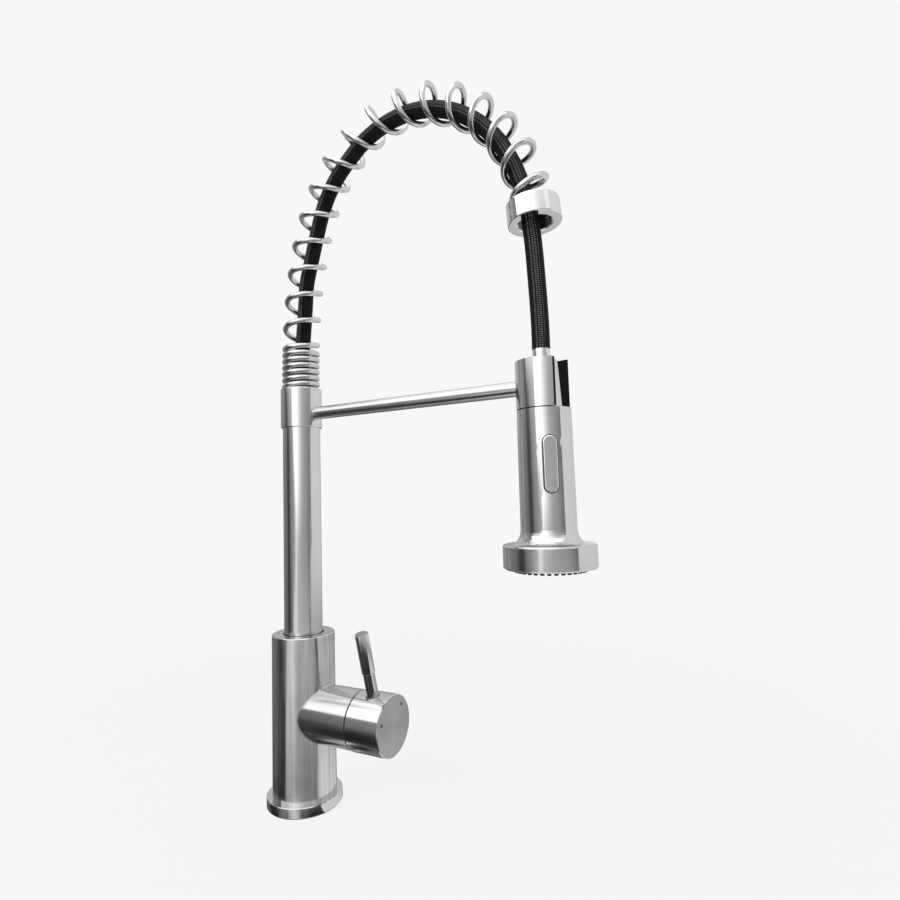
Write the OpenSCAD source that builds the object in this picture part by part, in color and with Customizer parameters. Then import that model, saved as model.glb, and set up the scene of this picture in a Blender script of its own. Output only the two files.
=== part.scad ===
// Spring-neck pull-out kitchen faucet, in millimetres, standing on its deck at z = 0.
// +Z is up, +X points along the support arm to the spray head.
// The origin is the centre of the flange's underside, where the shank comes in.

/* [Deck flange] */
// Diameter of the flange on the deck
flange_d = 54; // [50:0.5:64]
// Height of the flange
flange_h = 7.6; // [5:0.2:12]
// Height of the rubber gasket, let into the flange
gasket_h = 1.2; // [0.8:0.1:2]
// Width of the gasket's ring
gasket_w = 3.6; // [2:0.2:4]

/* [Body] */
// Diameter of the upright body
body_d = 45.8; // [44:0.2:49]
// Height of the body's top above the deck
body_top = 121; // [114:1:150]
// Wall of the body
body_wall = 2; // [1.5:0.1:2.4]
// Height of the thick collar inside the body's top, which holds the bushing
body_boss_h = 18; // [14:1:20]
// Threaded socket for the hollow shank, radius
shank_r = 14.5; // [12:0.1:15]
// Depth of the shank socket
shank_depth = 12; // [8:1:14]
// Radius of each supply port's thread
port_r = 4.5; // [3.5:0.1:5]
// Distance of each supply port from the body's axis
port_offset = 7; // [6.4:0.1:8]

/* [Handle] */
// Height of the handle's axis above the deck
handle_z = 64.7; // [60:0.5:70]
// Diameter of the side housing
housing_d = 40; // [39:0.2:42]
// Distance from the body's axis to the seam between housing and cap
seam_x = 53; // [52:0.2:56]
// Width of that seam
seam_gap = 0.7; // [0.3:0.1:0.8]
// Diameter of the handle cap
cap_d = 40.8; // [40:0.2:43]
// Length of the handle cap
cap_l = 26.2; // [24:0.2:32]
// How far the lever leans towards the front, in degrees
lever_tilt = 15; // [0:1:45]
// Distance from the cap's axis to the lever's tip
lever_reach = 66.2; // [50:0.2:90]
// Diameter of the lever's lower rod
lever_d = 8.1; // [7:0.1:10]
// Diameter of the lever's grip
grip_d = 9.2; // [8:0.1:12]
// Distance from the cap's axis to the joint between rod and grip
grip_start = 38; // [30:1:45]
// Distance of the two index dots from the cap's axis
dot_offset = 15.2; // [12:0.2:17]
// Angle of each index dot from the lever, in degrees
dot_angle = 56; // [30:1:80]

/* [Cartridge] */
// Diameter of the ceramic cartridge
cartridge_d = 35; // [34:0.1:35.2]
// Distance from the body's axis to the ball joint of the stem
pivot_x = 42; // [41:0.2:43]
// Side of the square stem
stem_w = 7; // [6:0.1:7.6]

/* [Riser] */
// Diameter of the riser tube
riser_d = 28; // [26:0.2:28.6]
// Wall of the riser tube
riser_wall = 1.2; // [1:0.1:1.6]
// Height of the riser tube's top above the deck
riser_top = 300; // [280:1:340]

/* [Support arm] */
// Height of the arm's axis above the deck
arm_z = 285.4; // [284:0.2:292]
// Diameter of the arm's rod
arm_d = 9.8; // [8:0.1:12]
// Distance from the riser's axis to the spray head's axis
reach = 194.8; // [170:1:230]
// Diameter of the arm's collar on the riser
collar_d = 30.8; // [30.6:0.1:34]
// Height of the arm's collar
collar_h = 30.4; // [26:0.2:36]

/* [Head holder] */
// Outer diameter of the open sleeve that holds the spray head
holder_d = 33.5; // [32:0.1:36]
// Height of the sleeve
holder_h = 29.7; // [26:0.2:34]
// Height of the sleeve's lower edge above the deck
holder_z = 270.9; // [268:0.1:274]
// Wall of the metal sleeve
holder_wall = 1.3; // [1:0.1:1.6]
// Half of the sleeve's opening, in degrees
slot_half = 44; // [36:1:60]
// How far the opening's middle is turned from the arm, in degrees
slot_turn = -6; // [-10:1:10]
// How far the liner's lips reach into the opening, in degrees
lip_angle = 5; // [2:1:8]

/* [Spring] */
// Diameter of the spring's wire
wire_d = 4.2; // [3.6:0.1:4.3]
// Radius of the coils, to the middle of the wire
coil_r = 12.2; // [11.8:0.1:12.4]
// Height of each closed coil
closed_pitch = 4.85; // [4.75:0.05:5.4]
// Closed coils at the foot
closed_turns = 6.32; // [5:0.01:8]
// Open coils over the arch
open_turns = 16.02; // [12:0.01:17]
// Coils wound into the end nut
end_turns = 0.9; // [0.6:0.1:1.2]
// Height of each coil in the end nut
end_pitch = 9; // [7:0.5:12]
// How much the open coils widen from the foot to the nut
pitch_growth = 0.09; // [0:0.02:0.3]
// How far the open coils lean at the foot of the arch, from one side of the wire's turn to the other
lean_foot = -1.1; // [-2:0.1:2]
// How far the open coils lean over the top of the arch
lean_top = 3.2; // [0:0.1:4]
// Where the wire starts, in degrees round the riser
coil_phase = 230; // [220:5:240]

/* [Arch] */
// How steadily the arch rises from the seat before it bends
arch_rise = 132; // [100:0.5:200]
// How far the arch's shoulder stands out from the riser
shoulder_x = 23.5; // [0:0.5:60]
// Height of the arch's shoulder point above the seat
shoulder_rise = 244.5; // [190:1:260]
// How straight the arch comes down into the nut
arch_drop = 129.5; // [100:1:150]

/* [End nut] */
// Outer diameter of the spring's end nut
nut_d = 34.5; // [33:0.1:38]
// Height of the end nut
nut_h = 13.6; // [12:0.1:18]
// Diameter of the end nut's threaded hole
nut_bore_d = 21.5; // [20:0.1:22]
// Height of the end nut's lower face above the deck
nut_z = 389.5; // [370:0.5:410]
// How far the end nut leans back to the riser, in degrees
nut_lean = 5; // [0:0.5:10]

/* [Hose] */
// Outer diameter of the braided hose
hose_d = 11; // [10:0.1:11.4]

/* [Spray head] */
// Diameter of the spray head's barrel at its top
barrel_d = 33.5; // [32:0.1:36]
// Diameter of the barrel just above the flare
barrel_foot_d = 34.3; // [33.5:0.1:36]
// Diameter of the neck's top, inside the holder
neck_top_d = 19.8; // [18:0.1:20]
// Diameter of the neck's foot
neck_foot_d = 23.2; // [21:0.1:24]
// Diameter of the spray face's rim
rim_d = 56.9; // [54:0.1:64]
// Height of the rim's band
rim_h = 14.5; // [11:0.1:18]
// Height of the rim's lower edge above the deck
rim_z = 174.4; // [165:0.1:180]
// Width of the concave flare above the rim
flare_w = 6; // [4:0.5:9]
// Height of the concave flare above the rim
flare_h = 8.5; // [6:0.5:14]
// Wall of the head's shell
shell_wall = 1.8; // [1.2:0.1:2.2]
// Direction that the button faces, in degrees round the head
button_azimuth = -63; // [-180:1:180]
// Length of the button
button_l = 34; // [28:0.5:38]
// Width of the button
button_w = 8.8; // [7:0.1:11]
// Height of the button's middle above the deck
button_z = 236.3; // [234:0.5:242]
// How far the button stands out of the barrel
button_proud = 1.2; // [0.5:0.1:1.6]
// Nozzles in the outer ring
nozzle_count = 34; // [18:1:34]

/* [Hidden] */
$fn = 96;

// General clearances
fit = 0.1;
slip = 0.3;
running = 0.05;
eps = 0.01;

// Body, its socket and its ports
body_r = body_d / 2;
bore_r = body_r - body_wall;
flange_r = flange_d / 2;
flange_edge = 1;
block_r = bore_r - fit;
socket_wall = 3.4;
spigot_foot_r = shank_r + socket_wall;
port_depth = 12;
block_top = shank_depth + port_depth + 6;
pipe_r = 4;
pipe_wall = 1;
pipe_seat = 6;
gasket_r = flange_r - 1.5;

// Cartridge, along the handle's axis
cart_r = cartridge_d / 2;
housing_r = housing_d / 2;
housing_bore_r = cart_r + 0.25;
housing_end = seam_x - seam_gap;
housing_chamfer = 0.7;
body_edge = 0.5;
seat_half = 21;
seat_r = bore_r - fit;
seat_floor = 6;
base_t = 5.7;
case_wall = 1.7;
case_start = seat_floor + base_t + 0.4;
case_neck_r = 12.5;
case_shoulder = pivot_x - 6;
case_end = pivot_x + 5;
fixed_t = 3.8;
moving_t = 3.9;
rotor_r = cart_r - case_wall - slip;
rotor_neck_r = 10.9;
rotor_drop = 12;
rotor_start = pivot_x - rotor_drop;
rotor_end = pivot_x + 4.5;
rotor_flange_t = 3.6;
moving_r = 9.8;
carrier_post_r = 6.2;
nut_thread_r = cart_r + 0.15;
nut_front = pivot_x + 10;
stem_tail = 15;
tail_w = 5;
slot_w = stem_w + 0.5;
slot_h = 8.2;
pin_r = 1.5;

// Handle cap: a ball socket round the stem's joint, so that the cap can tilt over the housing
cap_r = cap_d / 2;
cap_face = seam_x + cap_l;
cap_edge = 0.6;
corner_a = norm([housing_end - housing_chamfer - pivot_x, housing_r]);
corner_b = norm([housing_end - pivot_x, housing_r - housing_chamfer]);
socket_r = max(corner_a, corner_b) + slip;
lever_x = seam_x + cap_l / 2;
lever_seat = sqrt(pow(cap_r, 2) - pow(lever_d / 2, 2)) - 0.15;
stud_r = 3;
stud_end = 11;
grip_pin_r = 2.4;
grip_pin_l = 9;
stem_end = cap_face - 5;
screw_r = 2.5;
screw_l = 9;
dot_r = 1.1;
dot_t = 0.6;

// Riser and its swivel
riser_r = riser_d / 2;
riser_bore = riser_r - riser_wall;
spigot_foot_z = handle_z + seat_half + 0.1;
riser_foot = spigot_foot_z + 7;
spigot_r = 10.4;
spigot_bore = 6.5;
end_ring_h = 6;
carrier_r = riser_bore - slip;
carrier_foot = riser_foot + end_ring_h + 0.4;
carrier_h = 15;
ring_r = 1.15;
bushing_r = riser_r + 0.95;
bushing_drop = 2;

// Arm, collar and holder
collar_r = collar_d / 2;
collar_foot = arm_z - collar_h / 2 + 4.6;
collar_top = collar_foot + collar_h;
collar_bore = riser_r + fit;
arm_r = arm_d / 2;
holder_r = holder_d / 2;
holder_bore = holder_r - holder_wall;
holder_top = holder_z + holder_h;
barrel_r = barrel_d / 2;
neck_top_r = neck_top_d / 2;
neck_foot_r = neck_foot_d / 2;
shoulder_z = holder_z - 0.35;
neck_top_z = holder_top - 0.2;
neck_fillet = 1.5;
neck_foot_z = shoulder_z + neck_fillet + 0.5;

// Spring seat on the riser, and the spring's line over the arch in the X-Z plane
wire_r = wire_d / 2;
seat_sunk = 0.5;
seat_flange_h = collar_top - riser_top - seat_sunk;
seat_top = riser_top + seat_flange_h;
nipple_r = coil_r * cos(22.5) - wire_r - 0.5;
nipple_h = 14;
plug_l = 12;
fitting_top = riser_top - plug_l - fit;
fitting_flange = 8;
fitting_l = 26;
fitting_r = 7.2;
fitting_bore = 4;
hose_r = hose_d / 2;
seat_bore = hose_r + 0.6;
spring_foot = seat_top + wire_r + fit;
nut_r = nut_d / 2;
nut_x = reach - 0.4;
nut_recess = 7.5;
nut_axis = [-sin(nut_lean), cos(nut_lean)];
coil_in_nut = nut_h - nut_recess + wire_r + fit;
arch_0 = [0, spring_foot];
arch_1 = [0, spring_foot + arch_rise];
arch_2 = [shoulder_x, spring_foot + shoulder_rise];
arch_4 = [nut_x, nut_z] + nut_axis * coil_in_nut;
arch_3 = arch_4 + nut_axis * arch_drop;
arch_steps = 160;
arch_t = [for (i = [0:arch_steps]) i / arch_steps];
arch_points = [for (t = arch_t) arch_at(t)];
arch_lengths = running_sum([for (i = [1:arch_steps]) norm(arch_points[i] - arch_points[i - 1])]);
arch_table = [for (i = [0:arch_steps]) [arch_lengths[i], arch_t[i]]];
arch_length = arch_lengths[arch_steps];

// The wire: rings per coil, then the climb of each ring along the arch
rings = 8;
sides = 6;
blend_turns = 0.5;
turns = closed_turns + open_turns + end_turns;
ring_count = round(turns * rings);
steps_u = [for (k = [0:ring_count - 1]) (k + 0.5) * turns / ring_count];
step_u = turns / ring_count;
closed_share = [for (u = steps_u) 1 - ease((u - closed_turns) / blend_turns + 0.5)];
end_share = [for (u = steps_u) ease((u - closed_turns - open_turns) / blend_turns + 0.5)];
open_share = [for (k = [0:ring_count - 1]) (1 - closed_share[k] - end_share[k])
    * (1 + pitch_growth * (1 - pow(1 - (steps_u[k] - closed_turns) / open_turns, 3)))];
open_pitch = (arch_length / step_u - closed_pitch * total(closed_share)
    - end_pitch * total(end_share)) / total(open_share);
climb = running_sum([for (k = [0:ring_count - 1]) step_u * (closed_pitch * closed_share[k]
    + end_pitch * end_share[k] + open_pitch * open_share[k])]);
coil_points = [for (k = [0:ring_count]) coil_at(k)];
foot_side = [-sin(coil_phase), cos(coil_phase), 0];
coil_end_angle = coil_phase + 360 * turns;
nut_side_n = [-cos(nut_lean), 0, -sin(nut_lean)];
head_side = nut_side_n * -sin(coil_end_angle) + [0, 1, 0] * cos(coil_end_angle);
wire_points = concat([coil_points[0] - foot_side * wire_d], coil_points,
    [coil_points[ring_count] + head_side * wire_d]);
wire_radials = concat([coil_radial(0)], [for (k = [0:ring_count]) coil_radial(k)],
    [coil_radial(ring_count)]);
wire_last = len(wire_points) - 1;
wire_tangents = [for (i = [0:wire_last]) i <= 1 ? foot_side
    : i >= wire_last - 1 ? head_side
    : unit(wire_points[i + 1] - wire_points[i - 1])];
lug_l = 3;
lug_gap = 0.3;

// Hose: its route from the riser's top, through the spring and the nut, to the spray head
hose_sides = 10;
hose_route = [[0, 0, 288], [0, 0, 308], [1, 0, 327], [3, 0, 347], [5, 0, 367], [7, 0, 388],
    [11, 0, 408], [17, 0, 428], [24, 0, 447], [35, 0, 464], [49, 0, 477.5], [66, 0, 488],
    [85.5, 0, 495], [106.5, 0, 496], [126, 0, 491], [143.5, 0, 482], [159.5, 0, 468.5],
    [171.5, 0, 454], [181, 0, 436], [187.5, 0, 417], [190.5, 0, 397.5], [192.6, 0, 378], [194, 0, 350],
    [194.8, 0, 325], [194.8, 0, 308.5]];

// Lips of the holder's liner, which cover the ends of the metal sleeve
lip_rise = 1.5;
lip_gap = 0.5;
lip_root = 1.6;

// Spray head's inside, along its own axis
ferrule_r = 5.5;
ferrule_h = 7.9;
neck_bore = 6.4;
rim_r = rim_d / 2;
rim_top = rim_z + rim_h;
rim_edge = 0.9;
flare_foot = rim_top + 0.3;
flare_top = flare_foot + flare_h;
barrel_foot_r = barrel_foot_d / 2;
barrel_bore = barrel_r - shell_wall;
chamber_wall = 2;
pad_t = 2.6;
pad_r = rim_r - shell_wall - fit;
nozzle_r = 1.2;
nozzle_h = 2.6;
waterway_r = barrel_bore - fit;
o_ring_r = 0.9;
waterway_foot = rim_top + 4;
waterway_top = shoulder_z - 8;
chamber_r = rim_r - shell_wall - fit;
spool_r = 3.9;
spool_x = -6;
spool_l = 36;
button_seat = barrel_r - 4.65;
button_depth = 6.8;
pocket_w = button_w + 0.6;
pocket_l = button_l + 0.8;
pocket_floor = barrel_r - 7;
button_pin_r = 1;
button_pin_l = pocket_w + 4.4;
button_spring_drop = 1.3;
spool_groove = 9;
spool_ring_r = 0.7;
face_ring_w = 2.4;
aerator_r = 9;

function unit(v) = v / norm(v);
function ease(x) = x <= 0 ? 0 : x >= 1 ? 1 : x * x * (3 - 2 * x);
function total(v, i = 0) = i >= len(v) ? 0 : v[i] + total(v, i + 1);
function running_sum(v) = [for (i = 0, s = 0; i <= len(v); s = s + (i < len(v) ? v[i] : 0), i = i + 1) s];
function arch_at(t) = pow(1 - t, 4) * arch_0 + 4 * pow(1 - t, 3) * t * arch_1
    + 6 * pow(1 - t, 2) * t * t * arch_2 + 4 * (1 - t) * pow(t, 3) * arch_3 + pow(t, 4) * arch_4;
function arch_way(t) = unit(4 * pow(1 - t, 3) * (arch_1 - arch_0)
    + 12 * pow(1 - t, 2) * t * (arch_2 - arch_1)
    + 12 * (1 - t) * t * t * (arch_3 - arch_2) + 4 * pow(t, 3) * (arch_4 - arch_3));
function coil_radial(k) = let (w = arch_way(lookup(climb[k], arch_table)),
    a = coil_phase + 360 * k * step_u) [w[1] * cos(a), sin(a), -w[0] * cos(a)];
function coil_lean(k) = let (u = k * step_u - closed_turns, share = min(1, max(0, u / open_turns / 0.6)))
    (lean_foot + (lean_top - lean_foot) * share) * ease(u) * (1 - ease(u - open_turns + 1.5));
function coil_at(k) = let (t = lookup(climb[k], arch_table), c = arch_at(t), w = arch_way(t))
    [c[0], 0, c[1]] + coil_r * coil_radial(k)
    + coil_lean(k) * sin(coil_phase + 360 * k * step_u) * [w[0], 0, w[1]];

// Faces of a tube of n sides through m rings, with both ends closed
function tube_faces(m, n) = concat(
    [for (i = [0:m - 2], j = [0:n - 1]) [i * n + j, i * n + (j + 1) % n, (i + 1) * n + j]],
    [for (i = [0:m - 2], j = [0:n - 1]) [i * n + (j + 1) % n, (i + 1) * n + (j + 1) % n, (i + 1) * n + j]],
    [for (j = [1:n - 2]) [0, j + 1, j]],
    [for (j = [1:n - 2]) [(m - 1) * n, (m - 1) * n + j, (m - 1) * n + j + 1]]);

// Rings of a tube: each ring is turned by its own radial direction and tangent
function tube_points(p, radial, way, r, n) = [for (i = [0:len(p) - 1], j = [0:n - 1])
    let (u = unit(radial[i] - way[i] * (radial[i] * way[i])), v = cross(way[i], u), a = 360 * j / n)
    p[i] + r * (cos(a) * u + sin(a) * v)];

// The least gap between coils, measured between the wire's points a part of a coil or more apart
function least_gap() = min([for (i = [0:ring_count - 5], j = [i + 5:min(ring_count, i + 3 * rings)])
    norm(coil_points[i] - coil_points[j])]) - wire_d;
echo(least_gap_of_spring = least_gap(), open_pitch = open_pitch, arch_length = arch_length);

// Places
module on_handle() {
    translate([0, 0, handle_z]) rotate([0, 90, 0]) children();
}
module on_lever() {
    on_handle() rotate([0, 0, lever_tilt]) children();
}
module on_head() {
    translate([reach, 0, 0]) children();
}
module on_nut() {
    translate([nut_x, 0, nut_z]) rotate([0, -nut_lean, 0]) children();
}
// A disc or tube from height a to height b
module ring(a, b, outer, inner) {
    translate([0, 0, a]) difference() {
        cylinder(h = b - a, r = outer);
        translate([0, 0, -1]) cylinder(h = b - a + 2, r = inner);
    }
}
module disc(a, b, r) {
    translate([0, 0, a]) cylinder(h = b - a, r = r);
}
module round_ring(r, z, thick) {
    translate([0, 0, z]) rotate_extrude() translate([r, 0]) circle(r = thick, $fn = 24);
}
// A stop for the wire's end: its face stands square to the wire's last straight run
module wire_stop(angle, z, h, r_in, r_out) {
    intersection() {
        rotate([0, 0, angle]) translate([coil_r - wire_r, -wire_d - lug_gap - lug_l, z]) cube([wire_d, lug_l, h]);
        ring(z - 1, z + h + 1, r_out, r_in);
    }
}

// Base and body
module deck_flange() {
    color("silver") difference() {
        rotate_extrude() polygon([[spigot_foot_r + slip, 0], [flange_r - flange_edge, 0],
            [flange_r, flange_edge], [flange_r, flange_h - 0.3], [flange_r - 0.3, flange_h],
            [spigot_foot_r + slip, flange_h]]);
        ring(-1, gasket_h, gasket_r + fit, gasket_r - gasket_w - fit);
    }
}

module flange_gasket() {
    color("dimgray") ring(0, gasket_h - fit, gasket_r, gasket_r - gasket_w);
}

module faucet_body() {
    color("silver") difference() {
        rotate_extrude() polygon([[0, flange_h], [body_r, flange_h], [body_r, body_top - body_edge],
            [body_r - body_edge, body_top], [0, body_top]]);
        disc(-1, body_top - body_boss_h, bore_r);
        disc(0, body_top + 1, bushing_r + running);
        on_handle() disc(0, body_d, housing_bore_r);
    }
}

module side_housing() {
    color("silver") difference() {
        on_handle() rotate_extrude() polygon([[housing_bore_r, 0], [housing_r, 0],
            [housing_r, housing_end - housing_chamfer], [housing_r - housing_chamfer, housing_end],
            [housing_bore_r, housing_end]]);
        disc(flange_h, body_top, body_r + running);
    }
}

module base_block() {
    color("goldenrod") difference() {
        union() {
            disc(0, flange_h, spigot_foot_r);
            disc(flange_h, block_top, block_r);
        }
        disc(-1, shank_depth, shank_r);
        for (side = [-1, 1]) translate([0, side * port_offset, 0]) {
            disc(shank_depth - 1, shank_depth + port_depth, port_r);
            disc(shank_depth, block_top + 1, pipe_r - pipe_wall);
            disc(block_top - pipe_seat, block_top + 1, pipe_r + fit);
        }
    }
}

module inlet_pipes() {
    color("peru") for (side = [-1, 1]) translate([0, side * port_offset, 0])
        ring(block_top - pipe_seat, handle_z - seat_half + pipe_seat - fit, pipe_r, pipe_r - pipe_wall);
}

module cartridge_seat() {
    color("goldenrod") difference() {
        disc(handle_z - seat_half, handle_z + seat_half, seat_r);
        on_handle() disc(seat_floor, seat_floor + body_d, cart_r + fit);
        for (side = [-1, 1]) translate([0, side * port_offset, 0]) {
            disc(handle_z - seat_half - 1, handle_z - seat_half + pipe_seat, pipe_r + fit);
            disc(handle_z - seat_half, handle_z - 4, pipe_r - pipe_wall);
            translate([0, 0, handle_z - 7]) rotate([0, 90, 0]) disc(0, seat_floor + 1, pipe_r - pipe_wall);
        }
        disc(handle_z + 6, handle_z + seat_half + 1, spigot_bore);
        translate([0, 0, handle_z + 9]) rotate([0, 90, 0]) disc(0, seat_floor + 1, pipe_r - pipe_wall);
    }
}

// Cartridge
module cartridge_ports(a, b, r) {
    for (side = [-1, 1]) translate([7, side * port_offset, 0]) disc(a, b, r);
    translate([-9, 0, 0]) disc(a, b, r);
}

module cartridge_base() {
    color("whitesmoke") on_handle() difference() {
        disc(seat_floor + fit, seat_floor + base_t, cart_r - fit);
        cartridge_ports(seat_floor - 1, seat_floor + base_t + 1, pipe_r - pipe_wall - 0.5);
        cartridge_ports(seat_floor - 1, seat_floor + 1.6, pipe_r + 0.4);
    }
}

module cartridge_seals() {
    color("black") on_handle() for (at = [[7, -port_offset], [7, port_offset], [-9, 0]])
        translate([at[0], at[1], 0]) ring(seat_floor + fit, seat_floor + 1.5, pipe_r + 0.3, pipe_r - pipe_wall);
}

module cartridge_case() {
    color("lightgray") on_handle() difference() {
        union() {
            disc(case_start, case_shoulder, cart_r);
            disc(case_shoulder, case_end, case_neck_r);
        }
        disc(case_start - 1, rotor_start + rotor_flange_t + slip, cart_r - case_wall);
        disc(case_start, case_end + 1, rotor_neck_r + running);
    }
}

module ceramic_disc_fixed() {
    color("white") on_handle() difference() {
        disc(case_start + fit, case_start + fixed_t, cart_r - case_wall - fit);
        cartridge_ports(case_start - 1, case_start + fixed_t + 1, pipe_r - pipe_wall - 0.5);
    }
}

module retaining_nut() {
    color("goldenrod") on_handle() difference() {
        disc(case_shoulder + fit, nut_front, nut_thread_r);
        disc(case_shoulder, nut_front + 1, case_neck_r + fit);
        for (a = [0:60:300]) rotate([0, 0, a]) translate([nut_thread_r, 0, nut_front - 3]) disc(0, 4, 1.6);
    }
}

module cartridge_rotor() {
    color("ivory") on_lever() difference() {
        union() {
            disc(rotor_start, rotor_start + rotor_flange_t, rotor_r);
            disc(rotor_start, rotor_end, rotor_neck_r);
        }
        translate([-slot_h, -slot_w / 2, rotor_start - 1]) cube([2 * slot_h, slot_w, rotor_end - rotor_start + 2]);
        translate([0, 0, pivot_x]) rotate([90, 0, 0]) cylinder(h = 2 * cart_r, r = pin_r + fit, center = true);
    }
}

module stem_pin() {
    color("silver") on_lever() translate([0, 0, pivot_x]) rotate([90, 0, 0])
        cylinder(h = 2 * rotor_neck_r - 1, r = pin_r, center = true);
}

module ceramic_disc_moving() {
    color("white") on_lever() difference() {
        disc(case_start + fixed_t + fit, case_start + fixed_t + moving_t, moving_r);
        translate([0, 0, case_start + fixed_t]) cylinder(h = 2, r = 5);
    }
}

module disc_carrier() {
    color("ivory") on_lever() difference() {
        union() {
            disc(case_start + fixed_t + moving_t, pivot_x - 18, moving_r);
            disc(pivot_x - 19, rotor_start - 0.4, carrier_post_r);
        }
        translate([-4.2, -3.3, pivot_x - 16.5]) cube([8.4, 6.6, 10]);
    }
}

// Handle
module cartridge_stem() {
    color("goldenrod") on_lever() difference() {
        union() {
            translate([-stem_w / 2, -stem_w / 2, pivot_x - 4]) cube([stem_w, stem_w, stem_end - pivot_x + 4]);
            translate([-tail_w / 2, -tail_w / 2, pivot_x - stem_tail]) cube([tail_w, tail_w, stem_tail]);
        }
        translate([0, 0, pivot_x]) rotate([90, 0, 0]) cylinder(h = 2 * stem_w, r = pin_r + running, center = true);
    }
}

module handle_cap() {
    color("silver") on_lever() difference() {
        rotate_extrude() polygon([[0, seam_x], [cap_r, seam_x], [cap_r, cap_face - cap_edge],
            [cap_r - cap_edge, cap_face], [0, cap_face]]);
        translate([0, 0, pivot_x]) sphere(r = socket_r);
        translate([-stem_w / 2 - fit, -stem_w / 2 - fit, pivot_x])
            cube([stem_w + 2 * fit, stem_w + 2 * fit, stem_end + fit - pivot_x]);
        translate([0, 0, lever_x]) rotate([0, -90, 0]) disc(stud_end - 1, cap_r + 1, stud_r + fit);
        translate([0, 0, lever_x]) rotate([0, -90, 0]) disc(lever_seat, cap_r + 1, lever_d / 2 + fit);
        translate([0, 0, lever_x]) rotate([0, 90, 0]) disc(0, cap_r + 1, screw_r + fit);
        dots(cap_face - dot_t, cap_face + 1, dot_r + running);
    }
}

module dots(a, b, r) {
    for (side = [-1, 1]) rotate([0, 0, 180 + side * dot_angle]) translate([dot_offset, 0, 0]) disc(a, b, r);
}

module index_dots() {
    color("dimgray") on_lever() dots(cap_face - dot_t + running, cap_face - 0.1, dot_r);
}

module lever_rod() {
    color("silver") on_lever() translate([0, 0, lever_x]) rotate([0, -90, 0]) {
        disc(stud_end, lever_seat + 1, stud_r);
        disc(lever_seat + running, grip_start, lever_d / 2);
        disc(grip_start - 1, grip_start + grip_pin_l, grip_pin_r);
    }
}

module lever_grip() {
    color("silver") on_lever() translate([0, 0, lever_x]) rotate([0, -90, 0]) difference() {
        rotate_extrude() polygon([[0, grip_start + fit], [grip_d / 2 - 0.3, grip_start + fit],
            [grip_d / 2, grip_start + fit + 0.3], [grip_d / 2, lever_reach - 0.4],
            [grip_d / 2 - 0.4, lever_reach], [0, lever_reach]]);
        disc(grip_start - 1, grip_start + grip_pin_l + 0.5, grip_pin_r + running);
    }
}

module handle_set_screw() {
    color("dimgray") on_lever() translate([0, 0, lever_x]) rotate([0, 90, 0]) difference() {
        disc(stem_w / 2 + 0.2, stem_w / 2 + screw_l, screw_r);
        translate([0, 0, stem_w / 2 + screw_l - 3]) cylinder(h = 4, r = 1.3, $fn = 6);
    }
}

// Swivel
module swivel_spigot() {
    color("goldenrod") difference() {
        union() {
            disc(spigot_foot_z, riser_foot - 0.4, riser_bore);
            disc(spigot_foot_z, carrier_foot + carrier_h - 2, spigot_r);
        }
        disc(spigot_foot_z - 1, carrier_foot + carrier_h, spigot_bore);
    }
}

module seal_carrier() {
    color("goldenrod") difference() {
        ring(carrier_foot, carrier_foot + carrier_h, carrier_r, spigot_r + fit);
        for (z = [4, 11]) ring(carrier_foot + z - ring_r - fit, carrier_foot + z + ring_r + fit, carrier_r + 1, riser_bore - 2 * ring_r - 0.1);
    }
}

module swivel_o_rings() {
    color("black") for (z = [4, 11]) round_ring(riser_bore - ring_r - running, carrier_foot + z, ring_r);
}

module swivel_bushing() {
    color("whitesmoke") ring(body_top - body_boss_h, body_top - bushing_drop, bushing_r, riser_r + running);
}

// Riser and support arm
module riser_tube() {
    color("silver") ring(riser_foot, riser_top, riser_r, riser_bore);
}

module riser_end_ring() {
    color("silver") ring(riser_foot, riser_foot + end_ring_h, riser_bore - running, spigot_r + running);
}

module arm_collar() {
    color("silver") difference() {
        rotate_extrude() polygon(concat([[collar_bore, collar_foot], [collar_r - 0.4, collar_foot],
            [collar_r, collar_foot + 0.4]],
            [for (a = [0:15:90]) [collar_r - 1 + cos(a), collar_top - 1 + sin(a)]],
            [[collar_bore, collar_top]]));
        translate([0, 0, arm_z]) rotate([0, -90, 0]) disc(0, collar_r + 1, 2);
    }
}

module collar_set_screw() {
    color("dimgray") translate([0, 0, arm_z]) rotate([0, -90, 0]) difference() {
        disc(riser_r + running, collar_r - 0.1, 2 - running);
        translate([0, 0, riser_r + 0.6]) cylinder(h = 2, r = 1, $fn = 6);
    }
}

module support_arm() {
    color("silver") difference() {
        translate([0, 0, arm_z]) rotate([0, 90, 0]) disc(riser_r, reach - holder_bore, arm_r);
        disc(arm_z - collar_h, arm_z + collar_h, collar_r + running);
        on_head() disc(holder_z - 1, holder_top + 1, holder_r + running);
    }
}

module open_wedge(half, r) {
    linear_extrude(height = 2 * holder_top) polygon([[0, 0],
        [r * cos(half), -r * sin(half)], [2 * r, -r * sin(half)], [2 * r, r * sin(half)],
        [r * cos(half), r * sin(half)]]);
}

module slot_wedge(half) {
    rotate([0, 0, slot_turn]) open_wedge(half, 2 * holder_r);
}

module holder_sleeve() {
    color("silver") on_head() difference() {
        ring(holder_z, holder_top, holder_r, holder_bore);
        slot_wedge(slot_half);
    }
}

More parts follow.
